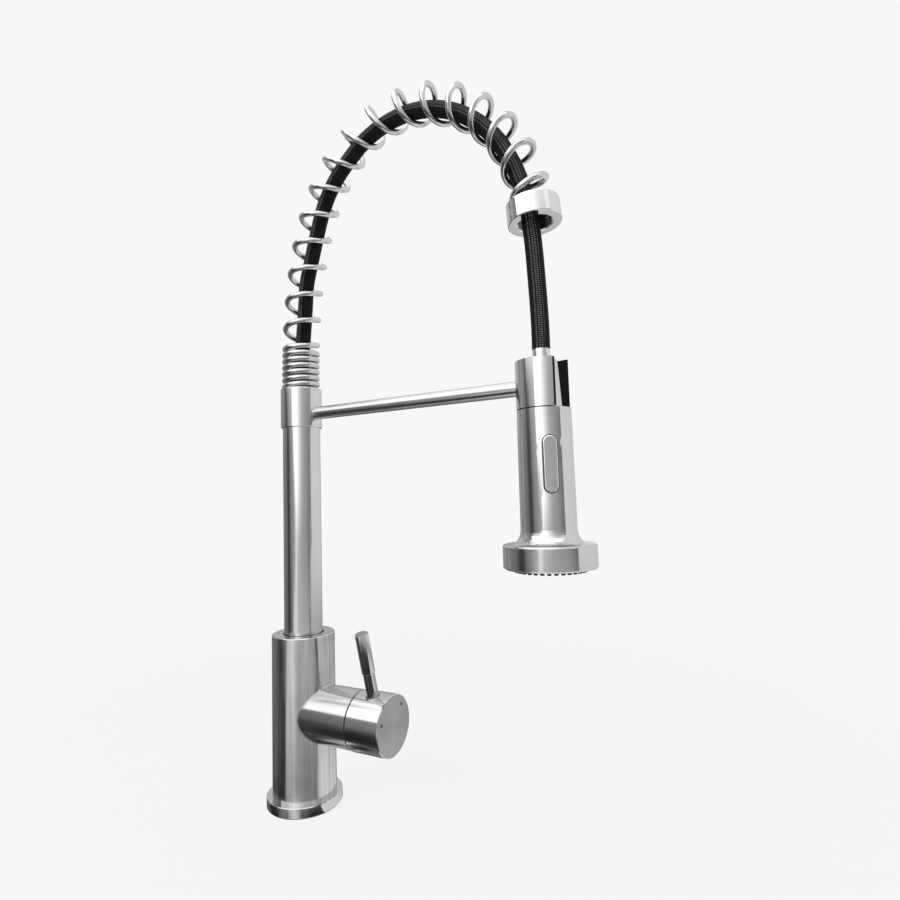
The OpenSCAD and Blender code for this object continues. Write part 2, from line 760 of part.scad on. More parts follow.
module holder_liner() {
    color("black") on_head() difference() {
        union() {
            rotate_extrude() polygon(concat([[holder_bore - fit, neck_foot_z - neck_fillet + slip],
                [holder_bore - fit, holder_top - 0.8], [holder_bore - 0.8, holder_top - 0.2],
                [neck_top_r + slip + 0.4, holder_top - 0.2], [neck_top_r + slip, holder_top - 0.6]],
                [for (a = [0:15:75]) [neck_foot_r + neck_fillet - (neck_fillet - slip) * cos(a),
                neck_foot_z - (neck_fillet - slip) * sin(a)]]));
            intersection() {
                ring(holder_z, holder_top + lip_rise, holder_r - fit, holder_bore - lip_root);
                slot_wedge(slot_half - lip_gap);
            }
        }
        slot_wedge(slot_half - lip_angle);
    }
}

// Spring, its seat and its end nut
module spring_seat() {
    color("silver") difference() {
        union() {
            disc(riser_top - plug_l, riser_top, riser_bore - fit);
            disc(riser_top, seat_top, riser_r - running);
            disc(seat_top, seat_top + nipple_h, nipple_r);
            wire_stop(coil_phase, seat_top - 1, wire_d, nipple_r, riser_r - running);
        }
        disc(riser_top - plug_l - 1, seat_top + nipple_h + 1, seat_bore);
    }
}

module hose_lower_fitting() {
    color("goldenrod") difference() {
        union() {
            disc(fitting_top - fitting_flange, fitting_top, riser_bore - fit);
            disc(fitting_top - fitting_l, fitting_top - 1, fitting_r);
        }
        disc(fitting_top - fitting_l - 1, fitting_top + 1, fitting_bore);
    }
}

module support_spring() {
    color("gainsboro") polyhedron(points = tube_points(wire_points, wire_radials, wire_tangents, wire_r, sides),
        faces = tube_faces(len(wire_points), sides), convexity = 10);
}

module spring_end_nut() {
    color("silver") on_nut() {
        difference() {
            rotate_extrude() polygon([[nut_bore_d / 2, 0.5], [nut_bore_d / 2 + 0.5, 0], [nut_r - 0.5, 0],
                [nut_r, 0.5], [nut_r, nut_h - 0.6], [nut_r - 0.6, nut_h], [nut_bore_d / 2, nut_h]]);
            disc(nut_h - nut_recess, nut_h + 1, coil_r + wire_r + 0.5);
        }
        wire_stop(180 - coil_end_angle, nut_h - nut_recess - 1, wire_d + 1, nut_bore_d / 2, coil_r + wire_r + 1.5);
    }
}

module braided_hose() {
    last = len(hose_route) - 1;
    way = [for (i = [0:last]) i == 0 ? [0, 0, 1] : i == last ? [0, 0, -1]
        : unit(hose_route[i + 1] - hose_route[i - 1])];
    side = [for (i = [0:last]) [0, 1, 0]];
    color("black") polyhedron(points = tube_points(hose_route, side, way, hose_r, hose_sides),
        faces = tube_faces(len(hose_route), hose_sides), convexity = 10);
}

// Spray head
module button_place() {
    rotate([0, 0, button_azimuth]) translate([0, 0, button_z]) children();
}
// A long round-ended block that faces out along X, from x = a to x = b
module pill(a, b, l, w) {
    for (side = [-1, 1]) translate([0, 0, side * (l - w) / 2]) rotate([0, 90, 0]) disc(a, b, w / 2);
    translate([a, -w / 2, -(l - w) / 2]) cube([b - a, w, l - w]);
}

module head_shell() {
    color("silver") on_head() difference() {
        rotate_extrude() polygon(concat([[0, neck_top_z], [neck_top_r, neck_top_z]],
            [for (a = [0:15:75]) [neck_foot_r + neck_fillet - neck_fillet * cos(a), neck_foot_z - neck_fillet * sin(a)]],
            [[barrel_r - 0.4, shoulder_z], [barrel_r, shoulder_z - 0.4]],
            [for (a = [0:10:80]) [barrel_foot_r + flare_w * (1 - cos(a)), flare_top - flare_h * sin(a)]],
            [[barrel_foot_r + flare_w, flare_foot]],
            [[rim_r - rim_edge, rim_top], [rim_r, rim_top - rim_edge], [rim_r, rim_z + rim_edge],
            [rim_r - rim_edge, rim_z], [0, rim_z]]));
        disc(waterway_top, neck_top_z + 1, neck_bore);
        disc(rim_z - 1, waterway_top + 1, barrel_bore);
        disc(rim_z - 1, rim_top - chamber_wall, rim_r - shell_wall);
        button_place() pill(0, barrel_r + 2, pocket_l, pocket_w);
    }
}

module hose_ferrule() {
    color("silver") on_head() ring(neck_top_z + fit, neck_top_z + ferrule_h, ferrule_r, 3);
}

module head_swivel_nut() {
    color("goldenrod") on_head() ring(neck_top_z - 17, neck_top_z, neck_bore - fit, 3);
}

module filter_washer() {
    color("dimgray") on_head() ring(neck_top_z - 19, neck_top_z - 17 - fit, neck_bore - fit, 2.5);
}

module check_valve() {
    color("steelblue") on_head() difference() {
        disc(waterway_top + 1, neck_top_z - 19 - fit, neck_bore - 0.4);
        for (a = [0:90:270]) rotate([0, 0, a]) translate([3, 0, waterway_top]) disc(0, neck_top_z - waterway_top, 1);
    }
}

module waterway_body() {
    color("dimgray") on_head() difference() {
        disc(waterway_foot, waterway_top - fit, waterway_r);
        disc(waterway_foot - 1, button_z - button_l / 2 - 6, 5);
        translate([spool_x, 0, 0]) disc(button_z - spool_l / 2 - 3, waterway_top + 1, spool_r + running);
        button_place() pill(pocket_floor, barrel_r, pocket_l, pocket_w);
        button_place() rotate([90, 0, 0]) translate([button_seat, 0, 0])
            cylinder(h = 2 * pocket_w, r = button_pin_r + fit, center = true);
        for (side = [-1, 1]) button_place() translate([0, 0, side * button_l * 0.3]) rotate([0, 90, 0])
            disc(pocket_floor - 3, barrel_r, 1.8);
        ring(waterway_top - 4, waterway_top - 2, waterway_r + 1, waterway_r - 2 * o_ring_r - fit);
    }
}

module waterway_o_ring() {
    color("black") on_head() round_ring(waterway_r - o_ring_r, waterway_top - 3, o_ring_r);
}

module diverter_spool() {
    color("ivory") on_head() translate([spool_x, 0, button_z]) difference() {
        disc(-spool_l / 2, spool_l / 2, spool_r);
        for (z = [-spool_groove, spool_groove]) ring(z - spool_ring_r - fit, z + spool_ring_r + fit, spool_r + 1,
            spool_r - 2 * spool_ring_r - fit);
        ring(-3, 3, spool_r + 1, spool_r - 1.2);
    }
}

module spool_o_rings() {
    color("black") on_head() translate([spool_x, 0, button_z]) for (z = [-spool_groove, spool_groove])
        round_ring(spool_r - spool_ring_r, z, spool_ring_r);
}

module spray_button() {
    color("gray") on_head() button_place() difference() {
        intersection() {
            pill(barrel_r + button_proud - button_depth, barrel_r + 3, button_l, button_w);
            disc(-button_l, button_l, barrel_r + button_proud);
        }
        translate([button_seat, 0, 0]) rotate([90, 0, 0]) cylinder(h = 2 * button_w, r = button_pin_r + running, center = true);
    }
}

module button_pin() {
    color("silver") on_head() button_place() translate([button_seat, 0, 0]) rotate([90, 0, 0])
        cylinder(h = button_pin_l, r = button_pin_r, center = true);
}

module button_spring() {
    color("silver") on_head() for (side = [-1, 1]) button_place() translate([0, 0, side * button_l * 0.3])
        rotate([0, 90, 0]) ring(pocket_floor - 2.9,
            barrel_r + button_proud - button_depth - button_spring_drop, 1.5, 0.9);
}

module spray_chamber() {
    color("dimgray") on_head() difference() {
        union() {
            disc(rim_z + pad_t + 1.6, rim_top - chamber_wall - fit, chamber_r);
            disc(rim_top - 3, waterway_foot - fit, waterway_r);
        }
        translate([0, 0, rim_z]) cylinder(h = rim_h + 10, r = 5);
        ring(rim_z, rim_top - chamber_wall - 2.5, chamber_r - 2, 11);
        disc(rim_z, rim_z + 10, aerator_r + fit);
    }
}

module nozzle_pad() {
    color("black") on_head() {
        ring(rim_z + 0.8, rim_z + 0.8 + pad_t, pad_r - face_ring_w, aerator_r + 1.4);
        for (row = [[pad_r - 5.2, nozzle_count], [pad_r - 9.6, 24], [pad_r - 13.2, 16]])
            for (i = [0:row[1] - 1]) rotate([0, 0, 360 * i / row[1]]) translate([row[0], 0, 0])
                disc(rim_z + 0.8 - nozzle_h, rim_z + 1, nozzle_r);
    }
}

module face_ring() {
    color("silver") on_head() ring(rim_z + 0.4, rim_z + pad_t + 1.4, pad_r, pad_r - face_ring_w + fit);
}

module aerator_body() {
    color("dimgray") on_head() difference() {
        disc(rim_z - 0.4, rim_z + 9.5, aerator_r);
        disc(rim_z - 1, rim_z + 1, aerator_r - 1.4);
        for (a = [0:60:300]) rotate([0, 0, a]) translate([3.6, 0, rim_z]) disc(0, 10, 1.3);
    }
}

module aerator_mesh() {
    color("silver") on_head() difference() {
        disc(rim_z, rim_z + 0.9, aerator_r - 1.5);
        for (x = [-3:3], y = [-3:3]) translate([x * 1.6 - 0.5, y * 1.6 - 0.5, rim_z - 1]) cube([1, 1, 3]);
    }
}

deck_flange();
flange_gasket();
faucet_body();
side_housing();
base_block();
inlet_pipes();
cartridge_seat();
cartridge_base();
cartridge_seals();
cartridge_case();
ceramic_disc_fixed();
retaining_nut();
swivel_spigot();
seal_carrier();
swivel_o_rings();
swivel_bushing();
cartridge_rotor();
stem_pin();
ceramic_disc_moving();
disc_carrier();
cartridge_stem();
handle_cap();
lever_rod();
lever_grip();
handle_set_screw();
index_dots();
riser_tube();
riser_end_ring();
arm_collar();
collar_set_screw();
support_arm();
holder_sleeve();
holder_liner();
spring_seat();
hose_lower_fitting();
support_spring();
spring_end_nut();
braided_hose();
head_shell();
hose_ferrule();
head_swivel_nut();
filter_washer();
check_valve();
waterway_body();
waterway_o_ring();
diverter_spool();
spool_o_rings();
spray_button();
button_pin();
button_spring();
spray_chamber();
nozzle_pad();
face_ring();
aerator_body();
aerator_mesh();
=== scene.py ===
import math

import bpy
import numpy as np
from mathutils import Matrix, Vector


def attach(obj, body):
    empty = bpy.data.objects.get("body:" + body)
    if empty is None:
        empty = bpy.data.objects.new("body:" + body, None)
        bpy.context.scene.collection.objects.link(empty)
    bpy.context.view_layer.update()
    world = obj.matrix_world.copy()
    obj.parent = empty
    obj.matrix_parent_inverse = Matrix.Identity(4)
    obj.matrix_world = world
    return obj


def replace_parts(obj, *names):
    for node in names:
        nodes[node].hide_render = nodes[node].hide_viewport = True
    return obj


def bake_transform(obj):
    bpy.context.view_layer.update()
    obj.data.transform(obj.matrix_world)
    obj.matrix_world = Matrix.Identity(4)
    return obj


MM = 0.001
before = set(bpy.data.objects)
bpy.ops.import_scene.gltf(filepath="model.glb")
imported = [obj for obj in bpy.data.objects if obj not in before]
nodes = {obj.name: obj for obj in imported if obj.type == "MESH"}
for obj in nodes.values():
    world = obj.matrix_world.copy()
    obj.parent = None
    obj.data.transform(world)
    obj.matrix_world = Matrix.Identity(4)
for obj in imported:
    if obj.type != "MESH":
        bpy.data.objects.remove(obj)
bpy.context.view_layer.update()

# Main sizes in millimetres, as in the part's source
BODY_R = 22.9
FLANGE_R = 27.0
HANDLE_Z = 64.7
CAP_R = 20.4
LEVER_X = 66.1
LEVER_LEAN = math.radians(15)
REACH = 194.8
ARM_Z = 285.4
WIRE_R = 2.1
COIL_R = 12.2
NUT_X, NUT_Z, NUT_LEAN = 194.4, 389.5, 5.0
BUTTON_AZ, BUTTON_Z = -63.0, 236.3
BUTTON_SIZE = (34, 8.8)
BUTTON_FACE_R = 17.95


# Camera, as it was fitted to the photo's outlines

CAMERA_AT = (0.30744, -0.34179, 0.21893)
CAMERA_AHEAD = (-0.4634, 0.8862, 0)
CAMERA_PITCH, CAMERA_ROLL = 4.6, -1.74
FOCAL_PIXELS, PHOTO_PIXELS = 580.53, 900
SENSOR = 36.0


def make_camera():
    data = bpy.data.cameras.new("photo_camera")
    camera = bpy.data.objects.new("photo_camera", data)
    bpy.context.scene.collection.objects.link(camera)
    pitch, roll = math.radians(CAMERA_PITCH), math.radians(CAMERA_ROLL)
    ahead = Vector(CAMERA_AHEAD).normalized()
    side = Vector((ahead.y, -ahead.x, 0))
    up = Vector((0, 0, 1))
    look = ahead * math.cos(pitch) + up * math.sin(pitch)
    top = -ahead * math.sin(pitch) + up * math.cos(pitch)
    right = side * math.cos(roll) + top * math.sin(roll)
    upright = -side * math.sin(roll) + top * math.cos(roll)
    turn = Matrix((right, upright, -look)).transposed()
    camera.matrix_world = Matrix.Translation(CAMERA_AT) @ turn.to_4x4()
    data.sensor_width = SENSOR
    data.lens = FOCAL_PIXELS / PHOTO_PIXELS * SENSOR
    data.clip_start = 0.02
    data.clip_end = 50
    bpy.context.scene.camera = camera


make_camera()


# Materials

class Net:
    """A small helper for building the nodes of a material, or of the world."""

    def __init__(self, name, world=False):
        self.owner = (bpy.data.worlds if world else bpy.data.materials).new(name)
        self.owner.use_nodes = True
        self.tree = self.owner.node_tree
        self.tree.nodes.clear()
        self.out = self.add("ShaderNodeOutputWorld" if world else "ShaderNodeOutputMaterial")

    def add(self, kind, **settings):
        node = self.tree.nodes.new(kind)
        for key, value in settings.items():
            setattr(node, key, value)
        return node

    def join(self, source, target):
        self.tree.links.new(source, target)

    def value(self, source, socket):
        """Joins a socket to another one, or gives it a plain value."""
        if hasattr(source, "is_linked"):
            self.join(source, socket)
        else:
            socket.default_value = source

    def math(self, how, a, b=0.0, c=0.0, clamp=False):
        node = self.add("ShaderNodeMath", operation=how, use_clamp=clamp)
        for i, v in enumerate((a, b, c)):
            self.value(v, node.inputs[i])
        return node.outputs[0]

    def step(self, source, start, end):
        """A smooth rise from 0 at start to 1 at end."""
        node = self.add("ShaderNodeMapRange", interpolation_type="SMOOTHSTEP")
        self.value(source, node.inputs[0])
        node.inputs[1].default_value = start
        node.inputs[2].default_value = end
        return node.outputs[0]

    def mix(self, share, a, b):
        node = self.add("ShaderNodeMix")
        self.value(share, node.inputs[0])
        self.value(a, node.inputs[2])
        self.value(b, node.inputs[3])
        return node.outputs[0]

    def ramp(self, source, stops):
        node = self.add("ShaderNodeValToRGB")
        while len(node.color_ramp.elements) < len(stops):
            node.color_ramp.elements.new(0.5)
        for element, (at, grey) in zip(node.color_ramp.elements, stops):
            element.position = at
            element.color = (grey, grey, grey, 1)
        self.join(source, node.inputs["Fac"])
        return node.outputs["Color"]

    def noise(self, scale, detail, rough):
        """A noise with its own scale along X, Y and Z."""
        mapping = self.add("ShaderNodeMapping")
        mapping.inputs["Scale"].default_value = scale
        self.join(self.add("ShaderNodeTexCoord").outputs["Object"], mapping.inputs["Vector"])
        node = self.add("ShaderNodeTexNoise")
        node.inputs["Scale"].default_value = 1.0
        node.inputs["Detail"].default_value = detail
        node.inputs["Roughness"].default_value = rough
        self.join(mapping.outputs["Vector"], node.inputs["Vector"])
        return node.outputs["Fac"]

    def swing(self, noise, by):
        """A noise moved to lie about zero, and scaled."""
        return self.math("MULTIPLY", self.math("SUBTRACT", noise, 0.5), by)

    def vector(self, operation, source, other=None, output=0):
        """A vector operation on source and, where it takes two, on the plain vector other."""
        node = self.add("ShaderNodeVectorMath", operation=operation)
        self.join(source, node.inputs[0])
        if other is not None:
            node.inputs[1].default_value = other
        return node.outputs[output]

    def here(self):
        """The place of each point in its object's own frame."""
        return self.add("ShaderNodeTexCoord").outputs["Object"]

    def surface(self, shader):
        self.join(shader.outputs[0], self.out.inputs["Surface"])
        return self.owner


def unit(axis):
    return tuple(1.0 if name == axis else 0.0 for name in "XYZ")


def line_scales(axis, times=1.0):
    """Scales for a noise whose lines run round the given axis."""
    fine, slow = 5200.0 * times, 60.0 * times
    return tuple(fine if name == axis else slow for name in "XYZ")


def round_tangent(net, axis, centre):
    """The direction round an axis through centre, at each point of the piece."""
    turn = net.add("ShaderNodeVectorMath", operation="CROSS_PRODUCT")
    turn.inputs[0].default_value = unit(axis)
    net.join(net.vector("SUBTRACT", net.here(), centre), turn.inputs[1])
    return net.vector("NORMALIZE", turn.outputs[0])


def along(net, way, centre):
    """How far each point lies along a direction from centre."""
    away = net.vector("SUBTRACT", net.here(), centre)
    return net.vector("DOT_PRODUCT", away, way, output="Value")


def faced(net, level, grit, ends):
    """A tone and a roughness that change at the end faces.

    Each of ends holds a direction, the point to measure from, how far along the direction the
    face begins in metres, and the tone and roughness given to the face. The dark tones at the gap
    ends and at the cap's front are painted shade.
    """
    edge = 0.00004
    for way, origin, start, other_tone, other_rough in ends:
        face = net.step(along(net, way, origin), start, start + edge)
        level = net.mix(face, level, other_tone)
        grit = net.mix(face, grit, other_rough)
    return level, grit


def coloured(net, shader, levels):
    """Gives the shader a colour from three levels."""
    colour = net.add("ShaderNodeCombineColor")
    for level, socket in zip(levels, colour.inputs):
        net.join(level, socket)
    net.join(colour.outputs[0], shader.inputs["Base Color"])


def bumped(net, shader, height, strength, distance):
    """Gives the shader a fine relief, and the finished material back."""
    bump = net.add("ShaderNodeBump")
    bump.inputs["Strength"].default_value = strength
    bump.inputs["Distance"].default_value = distance
    net.join(height, bump.inputs["Height"])
    net.join(bump.outputs[0], shader.inputs["Normal"])
    return net.surface(shader)


def brushed(name, rough, axis="Z", centre=(0, 0, 0), grain=0.08, blotch=0.03, streak=0.0, ends=()):
    """Brushed stainless steel: fine lines round an axis, slight clouding, and streaks along Z."""
    tone, line_share, coarse_times, rough_swing = 0.62, 0.6, 0.28, 0.08
    cloud_tone, cloud_rough = blotch * 2, blotch * 1.6
    net = Net(name)
    shader = net.add("ShaderNodeBsdfPrincipled")
    shader.inputs["Metallic"].default_value = 1.0
    shader.inputs["Anisotropic"].default_value = 0.75
    shader.inputs["Anisotropic Rotation"].default_value = 0.25
    shader.inputs["Specular Tint"].default_value = (0.8, 0.8, 0.8, 1)
    lines = net.noise(line_scales(axis), detail=2.0, rough=0.6)
    coarse = net.noise(line_scales(axis, coarse_times), detail=2.0, rough=0.5)
    cloud = net.noise(scale=(38, 38, 38), detail=2.0, rough=0.5)
    both = net.math("ADD", net.math("MULTIPLY", lines, line_share),
                    net.math("MULTIPLY", coarse, 1 - line_share))
    shade = net.math("ADD", net.swing(both, by=grain), net.swing(cloud, by=cloud_tone))
    if streak:
        drawn = net.noise(scale=(300, 300, 10), detail=3.0, rough=0.55)
        shade = net.math("ADD", shade, net.swing(drawn, by=streak))
    level, grit = faced(net, tone, rough, ends)
    coloured(net, shader, [net.math("ADD", shade, level)] * 3)
    vary = net.math("ADD", net.swing(both, by=rough_swing), net.swing(cloud, by=cloud_rough))
    net.join(net.math("ADD", vary, grit, clamp=True), shader.inputs["Roughness"])
    net.join(round_tangent(net, axis, centre), shader.inputs["Tangent"])
    return bumped(net, shader, both, strength=0.12, distance=0.00002)


def polished(name, tone, rough, scratch=0.12, ends=()):
    """Polished steel with faint handling marks."""
    tone_swing = 0.06
    net = Net(name)
    shader = net.add("ShaderNodeBsdfPrincipled")
    shader.inputs["Metallic"].default_value = 1.0
    shader.inputs["Specular Tint"].default_value = (0.85, 0.85, 0.85, 1)
    marks = net.noise(scale=(260, 260, 260), detail=5.0, rough=0.65)
    level, grit = faced(net, tone, rough, ends)
    coloured(net, shader, [net.math("ADD", net.swing(marks, by=tone_swing), level)] * 3)
    grit = net.math("ADD", net.swing(marks, by=scratch), grit, clamp=True)
    net.join(grit, shader.inputs["Roughness"])
    return bumped(net, shader, marks, strength=0.05, distance=0.00005)


def moulded(name, grey, rough, metal=0.0, tone=(1, 1, 1), grain=0.25, size=900.0, gloss=0.5):
    """Plastic, rubber, paint, ceramic, brass or copper with a fine grain."""
    tone_swing, rough_swing = 0.3, 0.2
    net = Net(name)
    shader = net.add("ShaderNodeBsdfPrincipled")
    shader.inputs["Metallic"].default_value = metal
    shader.inputs["Specular IOR Level"].default_value = gloss
    pits = net.noise(scale=(size, size, size), detail=3.0, rough=0.55)
    wide = net.noise(scale=(70, 70, 70), detail=2.0, rough=0.5)
    level = net.math("ADD", net.swing(wide, by=grey * tone_swing), grey)
    coloured(net, shader, [net.math("MULTIPLY", level, share) for share in tone])
    grit = net.math("ADD", net.swing(pits, by=rough_swing), rough, clamp=True)
    net.join(grit, shader.inputs["Roughness"])
    return bumped(net, shader, pits, strength=grain, distance=0.0001)


def braided(name):
    """Black nylon braid: two crossing sets of yarns, with thin paler tracers along the hose."""
    yarns, dashes, dash_from = 24.0, 33.0, -0.1
    tracers, tracer_half = (0.056, 0.022, 0.944, 0.911, 0.856, 0.822, 0.744), 0.0085
    black, weave_swing, tracer_grey = 0.005, 0.003, 0.22
    net = Net(name)
    shader = net.add("ShaderNodeBsdfPrincipled")
    shader.inputs["Roughness"].default_value = 0.6
    shader.inputs["Specular IOR Level"].default_value = 0.1
    parts = net.add("ShaderNodeSeparateXYZ")
    net.join(net.add("ShaderNodeUVMap", uv_map="braid").outputs[0], parts.inputs[0])
    turn, far = parts.outputs[0], parts.outputs[1]
    waves = []
    for way in ("ADD", "SUBTRACT"):
        yarn = net.math("MULTIPLY", net.math(way, turn, far), yarns)
        waves.append(net.math("SINE", net.math("MULTIPLY", yarn, math.tau)))
    weave = net.math("MAXIMUM", *waves)
    half = net.math("FRACT", net.math("MULTIPLY", turn, 2.0))
    tracer = 0.0
    for place in tracers:
        near = net.math("ABSOLUTE", net.math("SUBTRACT", half, place))
        tracer = net.math("ADD", net.math("LESS_THAN", near, tracer_half), tracer)
    wave = net.math("SINE", net.math("MULTIPLY", far, math.tau * dashes))
    dots = net.math("MULTIPLY", tracer, net.math("GREATER_THAN", wave, dash_from))
    dark = net.math("MULTIPLY_ADD", weave, weave_swing, black)
    coloured(net, shader, [net.math("MULTIPLY_ADD", dots, tracer_grey, dark)] * 3)
    return bumped(net, shader, weave, strength=0.9, distance=0.00025)


head_centre = (REACH * MM, 0, 0)
handle_centre = (0, 0, HANDLE_Z * MM)
arm_centre = (0, 0, ARM_Z * MM)
deck_centre = (0, 0, 0)
lever_way = (0.0, -math.sin(LEVER_LEAN), math.cos(LEVER_LEAN))

# The end faces: the housing's and the cap's ends in the gap are painted dark as shade, the cap's
# front is painted darker as shade, and the lever's top is darker
housing_end_shade = ((1, 0, 0), deck_centre, 0.05225, 0.012, 0.6)
cap_end_shade = ((-1, 0, 0), deck_centre, -0.05303, 0.012, 0.6)
cap_front_shade = ((1, 0, 0), deck_centre, 0.07908, 0.43, 0.34)
lever_top = (lever_way, handle_centre, 0.0661, 0.36, 0.3)

steel_up = brushed("steel_brushed_upright", rough=0.16)
steel_body = brushed("steel_brushed_body", rough=0.19, blotch=0.12, streak=0.6)
steel_head = brushed("steel_brushed_head", rough=0.14, centre=head_centre, grain=0.14)
steel_side = brushed("steel_brushed_side", rough=0.17, axis="X", centre=handle_centre, grain=0.05,
                     ends=[housing_end_shade])
steel_cap = brushed("steel_brushed_cap", rough=0.12, axis="X", centre=handle_centre, grain=0.03,
                    ends=[cap_front_shade, cap_end_shade])
steel_arm = brushed("steel_brushed_arm", rough=0.2, axis="X", centre=arm_centre, grain=0.05)
steel_bright = polished("steel_polished", tone=0.7, rough=0.07)
steel_wire = polished("steel_wire", tone=0.62, rough=0.17)
steel_lever = polished("steel_lever", tone=0.56, rough=0.03, scratch=0.03, ends=[lever_top])
steel_small = polished("steel_small", tone=0.6, rough=0.3)
# Darker steel for the inside of the nut: painted shade in the hollow
steel_bore_painted_shade = polished("steel_bore_painted_shade", tone=0.2, rough=0.2)
steel_ring = polished("steel_ring", tone=0.4, rough=0.2)
black_plastic = moulded("plastic_black", grey=0.005, rough=0.5, gloss=0.1)
grey_plastic = moulded("plastic_grey", grey=0.3, rough=0.45, grain=0.15)
button_paint = moulded("button_satin", grey=0.36, rough=0.4, metal=0.5, grain=0.1, size=1600.0)
white_plastic = moulded("plastic_white", grey=0.72, rough=0.4)
ceramic = moulded("ceramic_white", grey=0.82, rough=0.15, grain=0.05)
rubber = moulded("rubber_black", grey=0.014, rough=0.7, grain=0.4, gloss=0.18)
ink = moulded("enamel_dark", grey=0.02, rough=0.4, gloss=0.2)
brass = moulded("brass", grey=0.62, rough=0.3, metal=1.0, tone=(1.0, 0.78, 0.42), grain=0.1)
copper = moulded("copper", grey=0.62, rough=0.28, metal=1.0, tone=(1.0, 0.62, 0.42), grain=0.1)
braid = braided("nylon_braid")

LOOKS = {
    "deck_flange": steel_up, "flange_gasket": rubber, "faucet_body": steel_body,
    "side_housing": steel_side, "base_block": brass, "inlet_pipes": copper,
    "cartridge_seat": brass, "cartridge_base": white_plastic, "cartridge_seals": rubber,
    "cartridge_case": grey_plastic, "ceramic_disc_fixed": ceramic, "retaining_nut": brass,
    "swivel_spigot": brass, "seal_carrier": brass, "swivel_o_rings": rubber,
    "swivel_bushing": white_plastic, "cartridge_rotor": white_plastic, "stem_pin": steel_small,
    "ceramic_disc_moving": ceramic, "disc_carrier": white_plastic, "cartridge_stem": brass,
    "handle_cap": steel_cap, "lever_rod": steel_lever, "lever_grip": steel_lever,
    "handle_set_screw": steel_small, "index_dots": ink, "riser_tube": steel_up,
    "riser_end_ring": steel_small, "arm_collar": steel_up, "collar_set_screw": steel_small,
    "support_arm": steel_arm, "holder_sleeve": steel_head, "holder_liner": black_plastic,
    "spring_seat": steel_small, "hose_lower_fitting": brass, "support_spring": steel_wire,
    "spring_end_nut": steel_bright, "braided_hose": braid, "head_shell": steel_head,
    "hose_ferrule": steel_bright, "head_swivel_nut": brass, "filter_washer": rubber,
    "check_valve": grey_plastic, "waterway_body": black_plastic, "waterway_o_ring": rubber,
    "diverter_spool": white_plastic, "spool_o_rings": rubber, "spray_button": button_paint,
    "button_pin": steel_small, "button_spring": steel_small, "spray_chamber": black_plastic,
    "nozzle_pad": rubber, "face_ring": steel_head, "aerator_body": grey_plastic,
    "aerator_mesh": steel_small,
}
CAD_SHARP = math.radians(28)
for name, node in nodes.items():
    node.data.materials.clear()
    node.data.materials.append(LOOKS[name])
    node.data.shade_smooth()
    node.data.set_sharp_from_angle(angle=CAD_SHARP)


# Mesh helpers, in millimetres

def new_piece(name, points, faces, material, body, sharp):
    """A mesh with one material. A piece given no body rides none here."""
    mesh = bpy.data.meshes.new(name)
    mesh.from_pydata([tuple(float(c) * MM for c in p) for p in points], [], faces)
    mesh.validate()
    mesh.update()
    piece = bpy.data.objects.new(name, mesh)
    bpy.context.scene.collection.objects.link(piece)
    mesh.materials.append(material)
    mesh.shade_smooth()
    mesh.set_sharp_from_angle(angle=math.radians(sharp))
    if body:
        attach(piece, body)
    return piece


def skin(sections, m, wrap=True, closed=True, flip=False):
    """Faces between neighbouring sections of m points each.

    wrap joins the last section to the first, closed joins a section's last point to its first,
    and flip turns the faces over.
    """
    faces = []
    for i in range(sections if wrap else sections - 1):
        j = (i + 1) % sections
        for k in range(m if closed else m - 1):
            n = (k + 1) % m
            a, b, c, d = i * m + k, j * m + k, j * m + n, i * m + n
            faces.append((a, d, c, b) if flip else (a, b, c, d))
    return faces


def lathe(profile, steps, closed=True):
    """Points and faces of a profile of (radius, height) turned round Z.

    A closed profile is a ring's section, and an open one starts and ends on the axis.
    """
    angles = np.arange(steps) * math.tau / steps
    points = np.array([[r * np.cos(a), r * np.sin(a), z] for a in angles for r, z in profile])
    return points, skin(steps, len(profile), closed=closed)


def tube(centres, around, radius, first, closed_ends=True):
    """A tube along centres, whose rings are kept from twisting.

    around is the number of points of a ring, and first the direction of the first ring's start.
    """
    centres = np.array(centres, float)
    n = len(centres)
    tangent = np.gradient(centres, axis=0)
    tangent /= np.linalg.norm(tangent, axis=1)[:, None]
    side = np.array(first, float)
    angles = np.arange(around) * math.tau / around
    points = []
    for centre, way in zip(centres, tangent):
        side = side - way * (side @ way)
        side /= np.linalg.norm(side)
        other = np.cross(way, side)
        points += [centre + radius * (math.cos(a) * side + math.sin(a) * other) for a in angles]
    faces = skin(n, around, wrap=False, flip=True)
    if closed_ends:
        faces.append(tuple(range(around - 1, -1, -1)))
        faces.append(tuple((n - 1) * around + j for j in range(around)))
    return np.array(points), faces


def run_length(line):
    """The length along a line, at each of its points."""
    return np.concatenate([[0], np.cumsum(np.linalg.norm(np.diff(line, axis=0), axis=1))])


